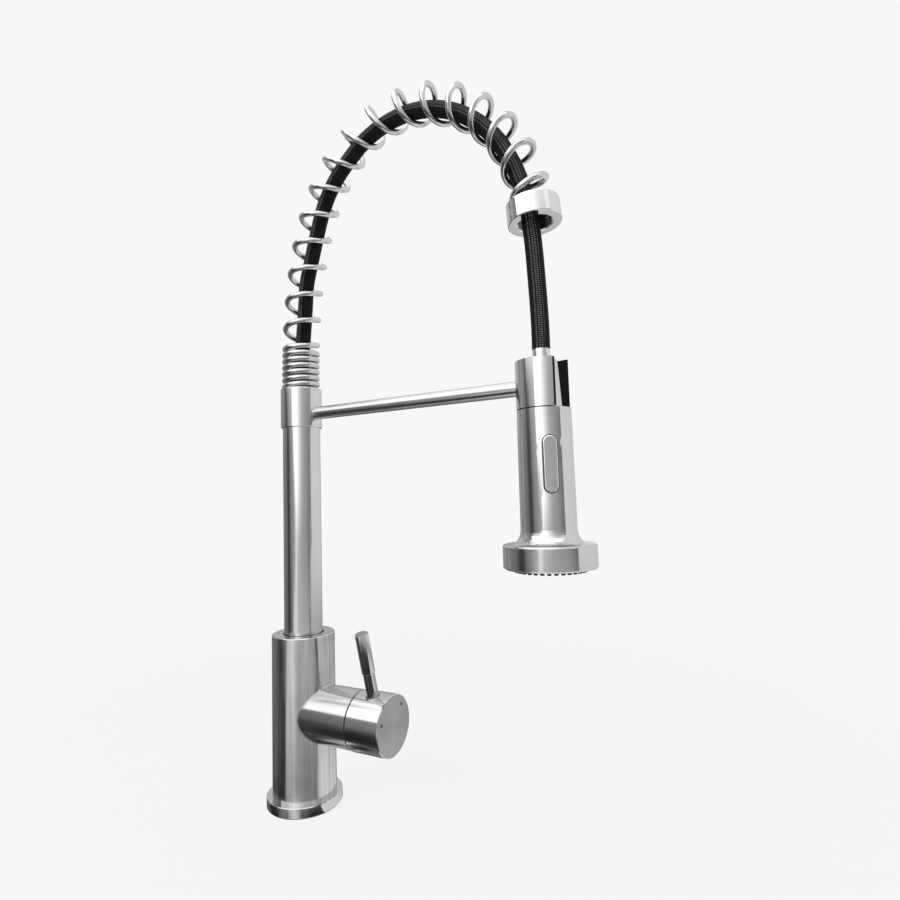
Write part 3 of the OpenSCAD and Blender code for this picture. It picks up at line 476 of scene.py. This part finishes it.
def smooth_line(points, steps):
    """A centripetal spline through the points, with steps to a stretch."""
    p = [np.array(q, float) for q in points]
    p = [2 * p[0] - p[1]] + p + [2 * p[-1] - p[-2]]
    out = []
    for i in range(1, len(p) - 2):
        a, b, c, d = p[i - 1:i + 3]
        k1 = np.linalg.norm(b - a) ** 0.5
        k2 = k1 + np.linalg.norm(c - b) ** 0.5
        k3 = k2 + np.linalg.norm(d - c) ** 0.5
        for s in range(steps):
            t = k1 + (k2 - k1) * s / steps
            a1 = (k1 - t) / k1 * a + t / k1 * b
            a2 = (k2 - t) / (k2 - k1) * b + (t - k1) / (k2 - k1) * c
            a3 = (k3 - t) / (k3 - k2) * c + (t - k2) / (k3 - k2) * d
            b1 = (k2 - t) / k2 * a1 + t / k2 * a2
            b2 = (k3 - t) / (k3 - k1) * a2 + (t - k1) / (k3 - k1) * a3
            out.append((k2 - t) / (k2 - k1) * b1 + (t - k1) / (k2 - k1) * b2)
    out.append(p[-2])
    return np.array(out)


def ease(x):
    """A smooth rise from 0 to 1."""
    x = np.clip(x, 0, 1)
    return x * x * (3 - 2 * x)


def placed(points, origin, turn):
    """Points turned by a rotation matrix and moved to origin."""
    return np.array(points, float) @ np.array(turn.to_3x3()).T + np.array(origin, float)


def circle(steps):
    """Even angles round a circle."""
    return [math.tau * i / steps for i in range(steps)]


# Spring: the same rule as the part's source, in finer steps

SPRING_FOOT_Z = 306.9
SPRING_END_UP = 8.3
ARCH_RISE = 132
ARCH_SHOULDER = (23.5, 244.5)
ARCH_DROP = 129.5
TURNS_CLOSED, TURNS_OPEN, TURNS_AT_NUT = 6.32, 16.02, 0.9
PITCH_CLOSED, PITCH_AT_NUT = 4.85, 9
PITCH_GROWTH = 0.09
PITCH_CHANGE = 0.5
START_ANGLE = math.radians(230)
TILT_FIRST, TILT_GAIN, TILT_SPAN, TILT_FADE = -1.1, 4.3, 0.6, 1.5
STEPS_IN_SOURCE, FINER = 8, 6
WIRE_AROUND, END_STEPS = 16, 4


def arch_line(lean, samples=1601):
    """The arch's middle line, from the spring's foot to the nut, and its direction."""
    foot = np.array([0, SPRING_FOOT_Z])
    axis = np.array([-math.sin(lean), math.cos(lean)])
    end = np.array([NUT_X, NUT_Z]) + axis * SPRING_END_UP
    shoulder = [ARCH_SHOULDER[0], SPRING_FOOT_Z + ARCH_SHOULDER[1]]
    bends = np.array([foot, foot + [0, ARCH_RISE], shoulder, end + axis * ARCH_DROP, end])
    t = np.linspace(0, 1, samples)[:, None]
    line = sum(math.comb(4, i) * t ** i * (1 - t) ** (4 - i) * bends[i] for i in range(5))
    way = sum(4 * math.comb(3, i) * t ** i * (1 - t) ** (3 - i) * (bends[i + 1] - bends[i])
              for i in range(4))
    return line, way / np.linalg.norm(way, axis=1)[:, None]


def spring_line():
    """The middle of the wire: closed coils, open coils along the arch, and the last in the nut."""
    lean = math.radians(NUT_LEAN)
    line, way = arch_line(lean)
    length = run_length(line)
    turns = TURNS_CLOSED + TURNS_OPEN + TURNS_AT_NUT
    steps = int(round(turns * STEPS_IN_SOURCE)) * FINER
    du = turns / steps
    u = (np.arange(steps) + 0.5) * du
    shut = 1 - ease((u - TURNS_CLOSED) / PITCH_CHANGE + 0.5)
    last = ease((u - TURNS_CLOSED - TURNS_OPEN) / PITCH_CHANGE + 0.5)
    growth = 1 + PITCH_GROWTH * (1 - (1 - (u - TURNS_CLOSED) / TURNS_OPEN) ** 3)
    wide = (1 - shut - last) * growth
    taken = PITCH_CLOSED * shut.sum() + PITCH_AT_NUT * last.sum()
    pitch = (length[-1] / du - taken) / wide.sum()
    rise = du * (PITCH_CLOSED * shut + PITCH_AT_NUT * last + pitch * wide)
    climb = np.concatenate([[0], np.cumsum(rise)])
    x, z = np.interp(climb, length, line[:, 0]), np.interp(climb, length, line[:, 1])
    wx, wz = np.interp(climb, length, way[:, 0]), np.interp(climb, length, way[:, 1])
    u = np.arange(steps + 1) * du
    angle = START_ANGLE + math.tau * u
    out = np.stack([wz * np.cos(angle), np.sin(angle), -wx * np.cos(angle)], 1)
    share = np.clip((u - TURNS_CLOSED) / TURNS_OPEN / TILT_SPAN, 0, 1)
    tilt = (TILT_FIRST + TILT_GAIN * share) * ease(u - TURNS_CLOSED) * np.sin(angle)
    tilt *= 1 - ease(u - TURNS_CLOSED - TURNS_OPEN + TILT_FADE)
    coil = np.stack([x + tilt * wx, np.zeros_like(x), z + tilt * wz], 1) + COIL_R * out
    start_way = np.array([-math.sin(angle[0]), math.cos(angle[0]), 0])
    nut_side = np.array([-math.cos(lean), 0, -math.sin(lean)])
    end_way = nut_side * -math.sin(angle[-1]) + np.array([0, 1, 0]) * math.cos(angle[-1])
    run = np.linspace(1, 0, END_STEPS + 1)[:-1, None] * 2 * WIRE_R
    return np.concatenate([coil[0] - start_way * run, coil, coil[-1] + end_way * run[::-1]])


points, faces = tube(spring_line(), WIRE_AROUND, WIRE_R, first=(0, 0, 1))
spring = new_piece("spring_wire", points, faces, steel_wire, "spout", sharp=60)
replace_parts(spring, "support_spring")


# Hose: a round tube, 0.15 mm larger in radius and up to 1.5 mm lower in the arch than the source's

ROUTE = [
    (0, 288), (0, 308), (1, 327), (3, 347), (5, 367), (7, 388), (12.5, 407.5), (18.5, 427.5),
    (25.5, 446.5), (36, 463), (50, 476.5), (66, 487.5), (85.5, 494), (106.5, 495),
    (125.5, 490.5), (143, 481.5), (159, 468), (170.5, 453.5), (180, 435.5), (186.5, 417),
    (190.5, 397.5), (192.6, 378), (194, 350), (194.8, 325), (194.8, 308.5)]
HOSE_R = 5.65
HOSE_AROUND, HOSE_STEPS = 48, 10
BRAID_LAY = 46.0


def make_hose():
    centres = smooth_line([(x, 0, z) for x, z in ROUTE], HOSE_STEPS)
    points, faces = tube(centres, HOSE_AROUND, HOSE_R, first=(0, 1, 0))
    hose = new_piece("hose_braid", points, faces, braid, None, sharp=60)
    far = run_length(centres)
    layer = hose.data.uv_layers.new(name="braid")
    for polygon in hose.data.polygons:
        rings = [v // HOSE_AROUND for v in polygon.vertices]
        turns = [v % HOSE_AROUND for v in polygon.vertices]
        wraps = max(turns) - min(turns) > HOSE_AROUND / 2 and len(turns) == 4
        for loop, ring, turn in zip(polygon.loop_indices, rings, turns):
            whole = 1 if wraps and turn < HOSE_AROUND / 2 else 0
            layer.data[loop].uv = (turn / HOSE_AROUND + whole, far[ring] / BRAID_LAY)
    return hose


hose = make_hose()
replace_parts(hose, "braided_hose")
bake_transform(hose)


# End nut: a smooth ring with a threaded bore below and a plain counterbore above, its inside
# painted darker as shade

def make_nut():
    steps, rows, fade_rows = 144, 60, 4
    bore, depth, pitch = 10.75, 0.55, 1.3
    low, high, ledge, chamfer_top = 0.7, 5.9, 6.1, 0.55
    outside = [(bore + 0.9, 0), (16.65, 0), (17.1, 0.15), (17.25, 0.6), (17.25, 13.0),
               (17.1, 13.45), (16.6, 13.6), (15.1, 13.6), (14.8, 13.3)]
    points, m = [], 0
    for a in circle(steps):
        profile = outside + [(14.8, ledge), (bore, ledge)]
        for k in range(rows + 1):
            z = high - (high - low) * k / rows
            phase = (z / pitch - a / math.tau) % 1.0
            fade = min(1.0, k / fade_rows, (rows - k) / fade_rows)
            profile.append((bore + depth * (1 - abs(2 * phase - 1)) * fade, z))
        profile.append((bore, chamfer_top))
        m = len(profile)
        points += [(r * math.cos(a), r * math.sin(a), z) for r, z in profile]
    turn = Matrix.Rotation(math.radians(-NUT_LEAN), 4, "Y")
    points = placed(points, (NUT_X, 0, NUT_Z), turn)
    piece = new_piece("end_nut_threaded", points, skin(steps, m), steel_bright, "spout",
                      sharp=12)
    # The inside faces take the darker steel, which is painted shade
    piece.data.materials.append(steel_bore_painted_shade)
    first_inside, chamfer = len(outside) - 1, m - 1
    for i, polygon in enumerate(piece.data.polygons):
        if first_inside <= i % m < chamfer:
            polygon.material_index = 1
    return piece


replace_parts(make_nut(), "spring_end_nut")


# Rocker button: a satin face with a bright rolled edge, in a dark rubber seal that also stands in
# for the shade in its gap

def pill_outline(length, width, inset, steps=20):
    """Points round a pill, its long side along Z, moved in by inset."""
    r = width / 2 - inset
    half = length / 2 - width / 2
    arc = [math.pi * k / steps for k in range(steps + 1)]
    upper = [(r * math.cos(a), half + r * math.sin(a)) for a in arc]
    return upper + [(-y, -z) for y, z in upper]


def shell_rings(rings):
    """Points of pills that follow the barrel, placed at the button.

    Each ring is (inset, height over the surface). The number of points in a ring comes second.
    """
    points = []
    for inset, height in rings:
        for y, z in pill_outline(*BUTTON_SIZE, inset):
            points.append((math.sqrt(max(0, BUTTON_FACE_R ** 2 - y * y)) + height, y, z))
    turn = Matrix.Rotation(math.radians(BUTTON_AZ), 4, "Z")
    return placed(points, (REACH, 0, BUTTON_Z), turn), len(points) // len(rings)


def make_button():
    rings = [(0, -6.6), (0, -1.0), (0.04, -0.72), (0.16, -0.42), (0.38, -0.18), (0.7, -0.04),
             (0.95, 0), (1.3, -0.1), (2.2, -0.16), (3.2, -0.2), (4.2, -0.22)]
    first_bright, last_bright = 1, 5
    points, n = shell_rings(rings)
    faces = skin(len(rings), n, wrap=False, flip=True)
    last = (len(rings) - 1) * n
    faces += [tuple(last + k for k in range(n)), tuple(n - 1 - k for k in range(n))]
    piece = new_piece("rocker_button", points, faces, button_paint, "button",
                      sharp=50)
    piece.data.materials.append(steel_bright)
    for polygon in piece.data.polygons:
        if first_bright <= min(polygon.vertices) // n <= last_bright:
            polygon.material_index = 1
    return piece


def make_button_shade_seal():
    # A dark rubber ring below the barrel round the button: a seal, and painted shade for the gap
    rings = [(-0.28, -1.4), (-0.28, -1.9), (0.12, -1.9), (0.12, -1.4)]
    points, n = shell_rings(rings)
    faces = skin(len(rings), n, flip=True)
    return new_piece("button_shade_seal", points, faces, rubber, "spray_head", sharp=35)


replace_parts(make_button(), "spray_button")
make_button_shade_seal()


# Small rings: the weld and the dark seal of the side housing, which also stands in for the shade
# in the gap, and the ring at the lever's foot

upright = Matrix.Rotation(LEVER_LEAN, 4, "X")
sideways = Matrix.Rotation(math.pi / 2, 4, "Y")
lever_foot = (LEVER_X, 0, HANDLE_Z)


def make_weld():
    """The bead where the side housing meets the round body."""
    housing_r, bead_r, steps = 20.0, 0.55, 120
    line = []
    for a in circle(steps) + [math.tau]:
        y, z = housing_r * math.cos(a), HANDLE_Z + housing_r * math.sin(a)
        line.append((math.sqrt(BODY_R * BODY_R - y * y), y, z))
    points, faces = tube(line, 10, bead_r, first=(1, 0, 0), closed_ends=False)
    return new_piece("housing_weld", points, faces, steel_side, "deck_body",
                     sharp=60)


def make_lever_ring():
    """A ring that follows the round cap. Its profile is (radius, height over the cap)."""
    profile = [(4.12, -0.5), (4.12, 0.3), (4.4, 0.5), (4.9, 0.35), (5.25, 0.05), (5.3, -0.5)]
    steps = 72
    points = []
    for a in circle(steps):
        for r, up in profile:
            x, y = r * math.cos(a), r * math.sin(a)
            points.append((x, y, math.sqrt(CAP_R * CAP_R - y * y) + up))
    return new_piece("lever_foot_ring", placed(points, lever_foot, upright),
                     skin(steps, len(profile)), steel_ring, "handle", sharp=50)


def make_housing_shade_seal():
    """A dark rubber ring in the gap between the side housing and the handle: a seal, and painted
    shade that makes the gap look wider.
    """
    profile = [(19.2, 51.7), (20.04, 51.7), (20.04, 52.75), (19.2, 52.75)]
    points, faces = lathe(profile, steps=160)
    points = placed(points, (0, 0, HANDLE_Z), sideways)
    return new_piece("housing_shade_seal", points, faces, rubber, "deck_body", sharp=30)


def make_liner():
    """The holder's black liner, whose front lip rises to its outer corner."""
    lip_angles = [33.0, 37.5]
    angles = lip_angles + [37.6] + [38 + 3.4 * i for i in range(81)] + [310.4, 310.5, 315.0]
    top, lip_end, lip_rise_over = 300.4, 46.0, 8.0
    inner_rise, outer_rise = 0.7, 1.7
    groove_r, groove_z, groove_size = 13.1, 272.55, 1.2
    points = []
    for i, degrees in enumerate(angles):
        at_edge = i < len(lip_angles) or i >= len(angles) - len(lip_angles)
        edge, foot, corner = (16.65, 270.9, 0.45) if at_edge else (15.35, 271.35, 0.7)
        rise = max(0.0, min(1.0, (lip_end - degrees) / lip_rise_over))
        inner_top, outer_top = top + inner_rise * rise, top + outer_rise * rise
        section = [(edge, foot), (edge, outer_top - corner),
                   (edge - 0.15, outer_top - corner * 0.4), (edge - corner, outer_top),
                   (10.6, inner_top), (10.2, inner_top - 0.4)]
        for t in range(0, 76, 15):
            t = math.radians(t)
            section.append((groove_r - groove_size * math.cos(t),
                            groove_z - groove_size * math.sin(t)))
        m = len(section)
        a = math.radians(degrees)
        points += [(REACH + r * math.cos(a), r * math.sin(a), z) for r, z in section]
    faces = skin(len(angles), m, wrap=False)
    faces += [tuple(range(m)), tuple(len(points) - 1 - k for k in range(m))]
    return new_piece("liner_formed", points, faces, black_plastic, "spout",
                     sharp=30)


make_weld()
make_lever_ring()
make_housing_shade_seal()
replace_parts(make_liner(), "holder_liner")


# Lever and arm: finer rounds than the solids have

def turned(name, profile, origin, turn, material, body, replaced, steps=96):
    points, faces = lathe(profile, steps, closed=False)
    points = placed(points, origin, turn)
    piece = new_piece(name, points, faces, material, body, sharp=30)
    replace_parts(piece, replaced)
    return piece


ROD_PROFILE = [(0, 12), (4.05, 12), (4.05, 38.0), (0, 38.0)]
GRIP_PROFILE = [(0, 38.15), (4.35, 38.15), (4.52, 38.22), (4.6, 38.45), (4.6, 65.8),
                (4.5, 66.08), (4.2, 66.2), (0, 66.2)]
ARM_PROFILE = [(0, 14.6), (4.9, 14.6), (4.9, 178.8), (0, 178.8)]
turned("lever_rod_turned", ROD_PROFILE, lever_foot, upright, steel_lever, "handle",
       "lever_rod")
turned("lever_grip_turned", GRIP_PROFILE, lever_foot, upright, steel_lever, "handle",
       "lever_grip")
turned("arm_rod_turned", ARM_PROFILE, (0, 0, ARM_Z), sideways, steel_arm, "spout",
       "support_arm")


# Studio: a pale floor, and large cards that only reflections see

OPEN = 0.935
BRIGHT = 1.7
AIM = (0.1, 0, 0.25)
VIEW_AZ = 312.0


def stage_mesh(name, points, faces, material):
    mesh = bpy.data.meshes.new(name)
    mesh.from_pydata(points, [], faces)
    mesh.update()
    mesh.materials.append(material)
    mesh.shade_smooth()
    thing = bpy.data.objects.new(name, mesh)
    bpy.context.scene.collection.objects.link(thing)
    return thing


def studio():
    """The world: pale to the camera and in reflections, and softer as a light."""
    net = Net("studio", world=True)
    bpy.context.scene.world = net.owner
    path = net.add("ShaderNodeLightPath").outputs
    seen = net.math("ADD", path["Is Camera Ray"], path["Is Glossy Ray"])
    seen = net.math("ADD", seen, path["Is Transmission Ray"], clamp=True)
    mix = net.add("ShaderNodeMixShader")
    net.join(seen, mix.inputs[0])
    for socket, grey in ((1, 0.62), (2, OPEN)):
        ground = net.add("ShaderNodeBackground")
        ground.inputs[0].default_value = (grey, grey, grey, 1)
        net.join(ground.outputs[0], mix.inputs[socket])
    net.surface(mix)


def floor():
    """A pale floor that shows a faint shade near the faucet and glows evenly further off."""
    grey, glow_share, shade_share = 0.9, 0.9, 0.1
    fade_start, fade_end, half = 0.2, 0.9, 30.0
    net = Net("floor_pale")
    shade = net.add("ShaderNodeBsdfDiffuse")
    shade.inputs[0].default_value = (grey, grey, grey, 1)
    glow = net.add("ShaderNodeEmission")
    glow.inputs[0].default_value = (OPEN, OPEN, OPEN, 1)
    away = net.vector("LENGTH", net.here(), output="Value")
    share = net.math("MULTIPLY_ADD", net.step(away, fade_start, fade_end), shade_share, glow_share)
    mix = net.add("ShaderNodeMixShader")
    net.join(share, mix.inputs[0])
    net.join(shade.outputs[0], mix.inputs[1])
    net.join(glow.outputs[0], mix.inputs[2])
    corners = [(-half, -half, 0), (half, -half, 0), (half, half, 0), (-half, half, 0)]
    thing = stage_mesh("floor", corners, [(0, 1, 2, 3)], net.surface(mix))
    thing.visible_glossy = False


def directions(net):
    """The azimuth and the elevation of each point of a card, in degrees, from its own centre."""
    parts = net.add("ShaderNodeSeparateXYZ")
    net.join(net.here(), parts.inputs[0])
    x, y, z = parts.outputs
    degrees = 180 / math.pi
    azimuth = net.math("MULTIPLY", net.math("ARCTAN2", y, x), degrees)
    azimuth = net.math("MODULO", net.math("ADD", azimuth, 360.0), 360.0)
    squares = net.math("ADD", net.math("MULTIPLY", x, x), net.math("MULTIPLY", y, y))
    height = net.math("ARCTAN2", z, net.math("SQRT", squares))
    return azimuth, net.math("MULTIPLY", height, degrees)


def by_azimuth(net, azimuth, stops):
    """A level that follows stops of (azimuth in degrees, level)."""
    return net.ramp(net.math("DIVIDE", azimuth, 360.0), [(a / 360.0, level) for a, level in stops])


def by_height(net, height, stops):
    """A level that follows stops of (elevation in degrees, level)."""
    share = net.math("DIVIDE", net.math("ADD", height, 90.0), 180.0)
    return net.ramp(share, [((e + 90) / 180.0, level) for e, level in stops])


def card(name, points, faces, net, level, place):
    """A glowing card that only reflections see."""
    glow = net.add("ShaderNodeEmission")
    net.join(level, glow.inputs[0])
    thing = stage_mesh(name, points, faces, net.surface(glow))
    thing.location = place
    for flag in ("visible_camera", "visible_diffuse", "visible_transmission", "visible_shadow",
                 "visible_volume_scatter"):
        setattr(thing, flag, False)


# The dome has a left part, a right part and an open part, which is plain and pale. These tables
# give a part's level by azimuth, or a factor or level by elevation.
DOME_START, DOME_END = 108.0, 358.5
LEFT_LEVEL = [(108, 0.5), (150, 0.5), (160, 0.36), (184, 0.3), (205, 0.21), (213, 0.07),
              (225, 0.07), (232, 0.24), (240, 0.35), (256, 0.42)]
LEFT_FACTOR = [(-70, 0.6), (-50, 0.5), (-30, 0.25), (-20, 0.6), (-5, 0.95), (4, 1.0), (12, 1.5)]
RIGHT_DEEP = [(248, 1.05), (270, 1.05), (280, 0.72), (305, 0.72), (320, 0.66), (352, 0.62),
              (355, 0.42), (357, 0.4), (358.5, 0.6)]
RIGHT_LOW = [(252, 1.5), (264, 1.4), (270, 0.9), (277, 0.5), (300, 0.42), (330, 0.4),
             (340, 0.3), (352, 0.18), (357, 0.18), (358.5, OPEN)]
RIGHT_HIGH = [(252, 2.2), (274, 2.2), (288, 1.45), (300, 0.95), (311, 0.6), (325, 0.5),
              (340, 0.37), (351, 0.33), (353.5, 0.2), (357, 0.2), (358.5, OPEN)]
RIGHT_OVER = [(250, 1.6), (280, 1.6), (287, 1.5), (298, 1.28), (310, 0.98), (322, 0.79),
              (335, 0.74), (348, 1.0), (358.5, 0.95)]
RIGHT_FACTOR = [(-56, 0.06), (-40, 0.1), (-32, 0.28), (-26, 0.66), (-22, 0.85), (-15, 1.0)]
OPEN_LEVEL = [(-30, OPEN), (-26, 0.68), (-22, 0.6), (-15, 0.5), (-9, OPEN)]

# The left part turns bright over its sill, which drops by the third number between two azimuths
SILL = 54.0
SILL_DROPS = ((150.0, 157.0, 8.0), (206.0, 218.0, 32.0))

# The share by which the left part is dimmer low down, near the edge
UNDER_DIP = 0.5

# The edge between the parts leans to the left below EDGE_KNEE, and bulges right just below level
EDGE_START, EDGE_END = 253.0, 256.5
EDGE_KNEE, EDGE_LEAN, EDGE_BULGE = 2.0, 0.52, 15.0
BULGE_SHARE = [(-14, 0.0), (-9, 1.0), (0, 1.0), (5, 0.0)]


def left_part(net, azimuth, height):
    level = net.math("MULTIPLY", by_azimuth(net, azimuth, LEFT_LEVEL),
                     by_height(net, height, LEFT_FACTOR))
    under = net.math("MULTIPLY", net.step(height, start=-12.0, end=-26.0),
                     net.step(azimuth, start=220.0, end=228.0))
    dip = net.math("SUBTRACT", 1.0, net.math("MULTIPLY", under, UNDER_DIP))
    level = net.math("MULTIPLY", level, dip)
    sill = SILL
    for start, end, drop in SILL_DROPS:
        fall = net.math("MULTIPLY", net.step(azimuth, start, end), drop)
        sill = net.math("SUBTRACT", sill, fall)
    over = net.step(net.math("SUBTRACT", height, sill), start=-1.0, end=3.0)
    return net.mix(over, level, BRIGHT)


def right_part(net, azimuth, height):
    deep, low, high, over = [by_azimuth(net, azimuth, stops)
                             for stops in (RIGHT_DEEP, RIGHT_LOW, RIGHT_HIGH, RIGHT_OVER)]
    level = net.mix(net.step(height, start=-6.0, end=1.0), low, high)
    level = net.mix(net.step(height, start=-16.0, end=-6.0), deep, level)
    level = net.math("MULTIPLY", level, by_height(net, height, RIGHT_FACTOR))
    level = net.mix(net.step(height, start=12.0, end=20.0), level, over)
    return net.mix(net.step(height, start=30.0, end=45.0), level, BRIGHT)


def tent():
    """A dome of dark, grey and bright cards."""
    net = Net("studio_cards")
    azimuth, height = directions(net)
    below = net.math("MAXIMUM", net.math("SUBTRACT", EDGE_KNEE, height), 0.0)
    bulge = net.math("MULTIPLY", by_height(net, height, BULGE_SHARE), EDGE_BULGE)
    edge = net.math("SUBTRACT", net.math("MULTIPLY_ADD", below, EDGE_LEAN, azimuth), bulge)
    level = net.mix(net.step(edge, EDGE_START, EDGE_END), left_part(net, azimuth, height),
                    right_part(net, azimuth, height))
    level = net.mix(net.step(height, start=-72.0, end=-62.0), OPEN, level)
    apart = net.math("ADD", net.math("LESS_THAN", azimuth, DOME_START),
                     net.math("GREATER_THAN", azimuth, DOME_END))
    level = net.mix(apart, level, by_height(net, height, OPEN_LEVEL))
    radius, columns, rows, highest = 2.0, 96, 48, 88
    points = []
    for i in range(columns + 1):
        a = math.tau * i / columns
        for j in range(rows + 1):
            e = math.radians(-highest + 2 * highest * j / rows)
            flat = radius * math.cos(e)
            points.append((flat * math.cos(a), flat * math.sin(a), radius * math.sin(e)))
    faces = skin(columns + 1, rows + 1, wrap=False, closed=False)
    card("studio_cards", points, faces, net, level, AIM)


def sector(start, sweep, parts, inner, outer):
    """Points and faces of a flat sector on the floor. Its radii are in millimetres."""
    points = []
    for i in range(parts + 1):
        a = math.radians(start + sweep * i / parts)
        points += [(r * MM * math.cos(a), r * MM * math.sin(a), 0) for r in (inner, outer)]
    return points, skin(parts + 1, 2, wrap=False, closed=False, flip=True)


def flange_card():
    """A dark ring close round the flange, as a worktop would show in its polished edge.

    Its bands are drawn aslant, so that they stand upright as the camera sees them in the edge.
    """
    slant, degrees, plain_end = 0.8, 57.3, 228.0
    levels = [(160, 0.16), (248, 0.16), (252, 0.03), (268, 0.03), (274, 0.2), (280, 0.25),
              (285, 0.14), (288, 0.5), (296, 0.9), (303, 0.5), (306, 0.14), (313, 0.12),
              (320, 0.03), (343, 0.03)]
    net = Net("floor_card")
    azimuth = directions(net)[0]
    far = net.vector("LENGTH", net.here(), output="Value")
    out = net.math("SUBTRACT", 1.0, net.math("DIVIDE", FLANGE_R * MM, far))
    off_view = net.math("SUBTRACT", azimuth, VIEW_AZ)
    aslant = net.math("TANGENT", net.math("MULTIPLY", off_view, slant * math.pi / 180))
    shift = net.math("MULTIPLY", net.math("MULTIPLY", out, aslant), degrees)
    bands = net.math("SUBTRACT", azimuth, shift)
    bands = net.mix(net.math("LESS_THAN", azimuth, plain_end), bands, azimuth)
    points, faces = sector(start=160, sweep=183, parts=92, inner=FLANGE_R + 0.5, outer=42)
    card("floor_card", points, faces, net, by_azimuth(net, bands, levels), (0, 0, 0.0003))


def worktop_card():
    """A dark patch of worktop to the left of the camera's view of the body."""
    levels = [(185, 0.2), (205, 0.13), (222, 0.08), (234, 0.045), (244, 0.06)]
    net = Net("worktop_card")
    azimuth = directions(net)[0]
    points, faces = sector(start=185, sweep=59, parts=24, inner=60, outer=330)
    card("worktop_card", points, faces, net, by_azimuth(net, azimuth, levels), (0, 0, 0.0006))


def lamp(name, place, power, size=0.9):
    """A soft square lamp, aimed at the faucet, which neither the camera nor reflections see."""
    data = bpy.data.lights.new(name, "AREA")
    data.shape = "RECTANGLE"
    data.size = data.size_y = size
    data.energy = power
    thing = bpy.data.objects.new(name, data)
    bpy.context.scene.collection.objects.link(thing)
    thing.location = place
    thing.rotation_euler = (Vector(AIM) - Vector(place)).to_track_quat("-Z", "Y").to_euler()
    thing.visible_glossy = False
    thing.visible_camera = False


studio()
floor()
tent()
flange_card()
worktop_card()
lamp("key", (-0.5, -1.3, 1.1), power=11)
lamp("fill", (1.5, -0.7, 0.8), power=5)
bpy.context.scene.view_settings.view_transform = "Standard"
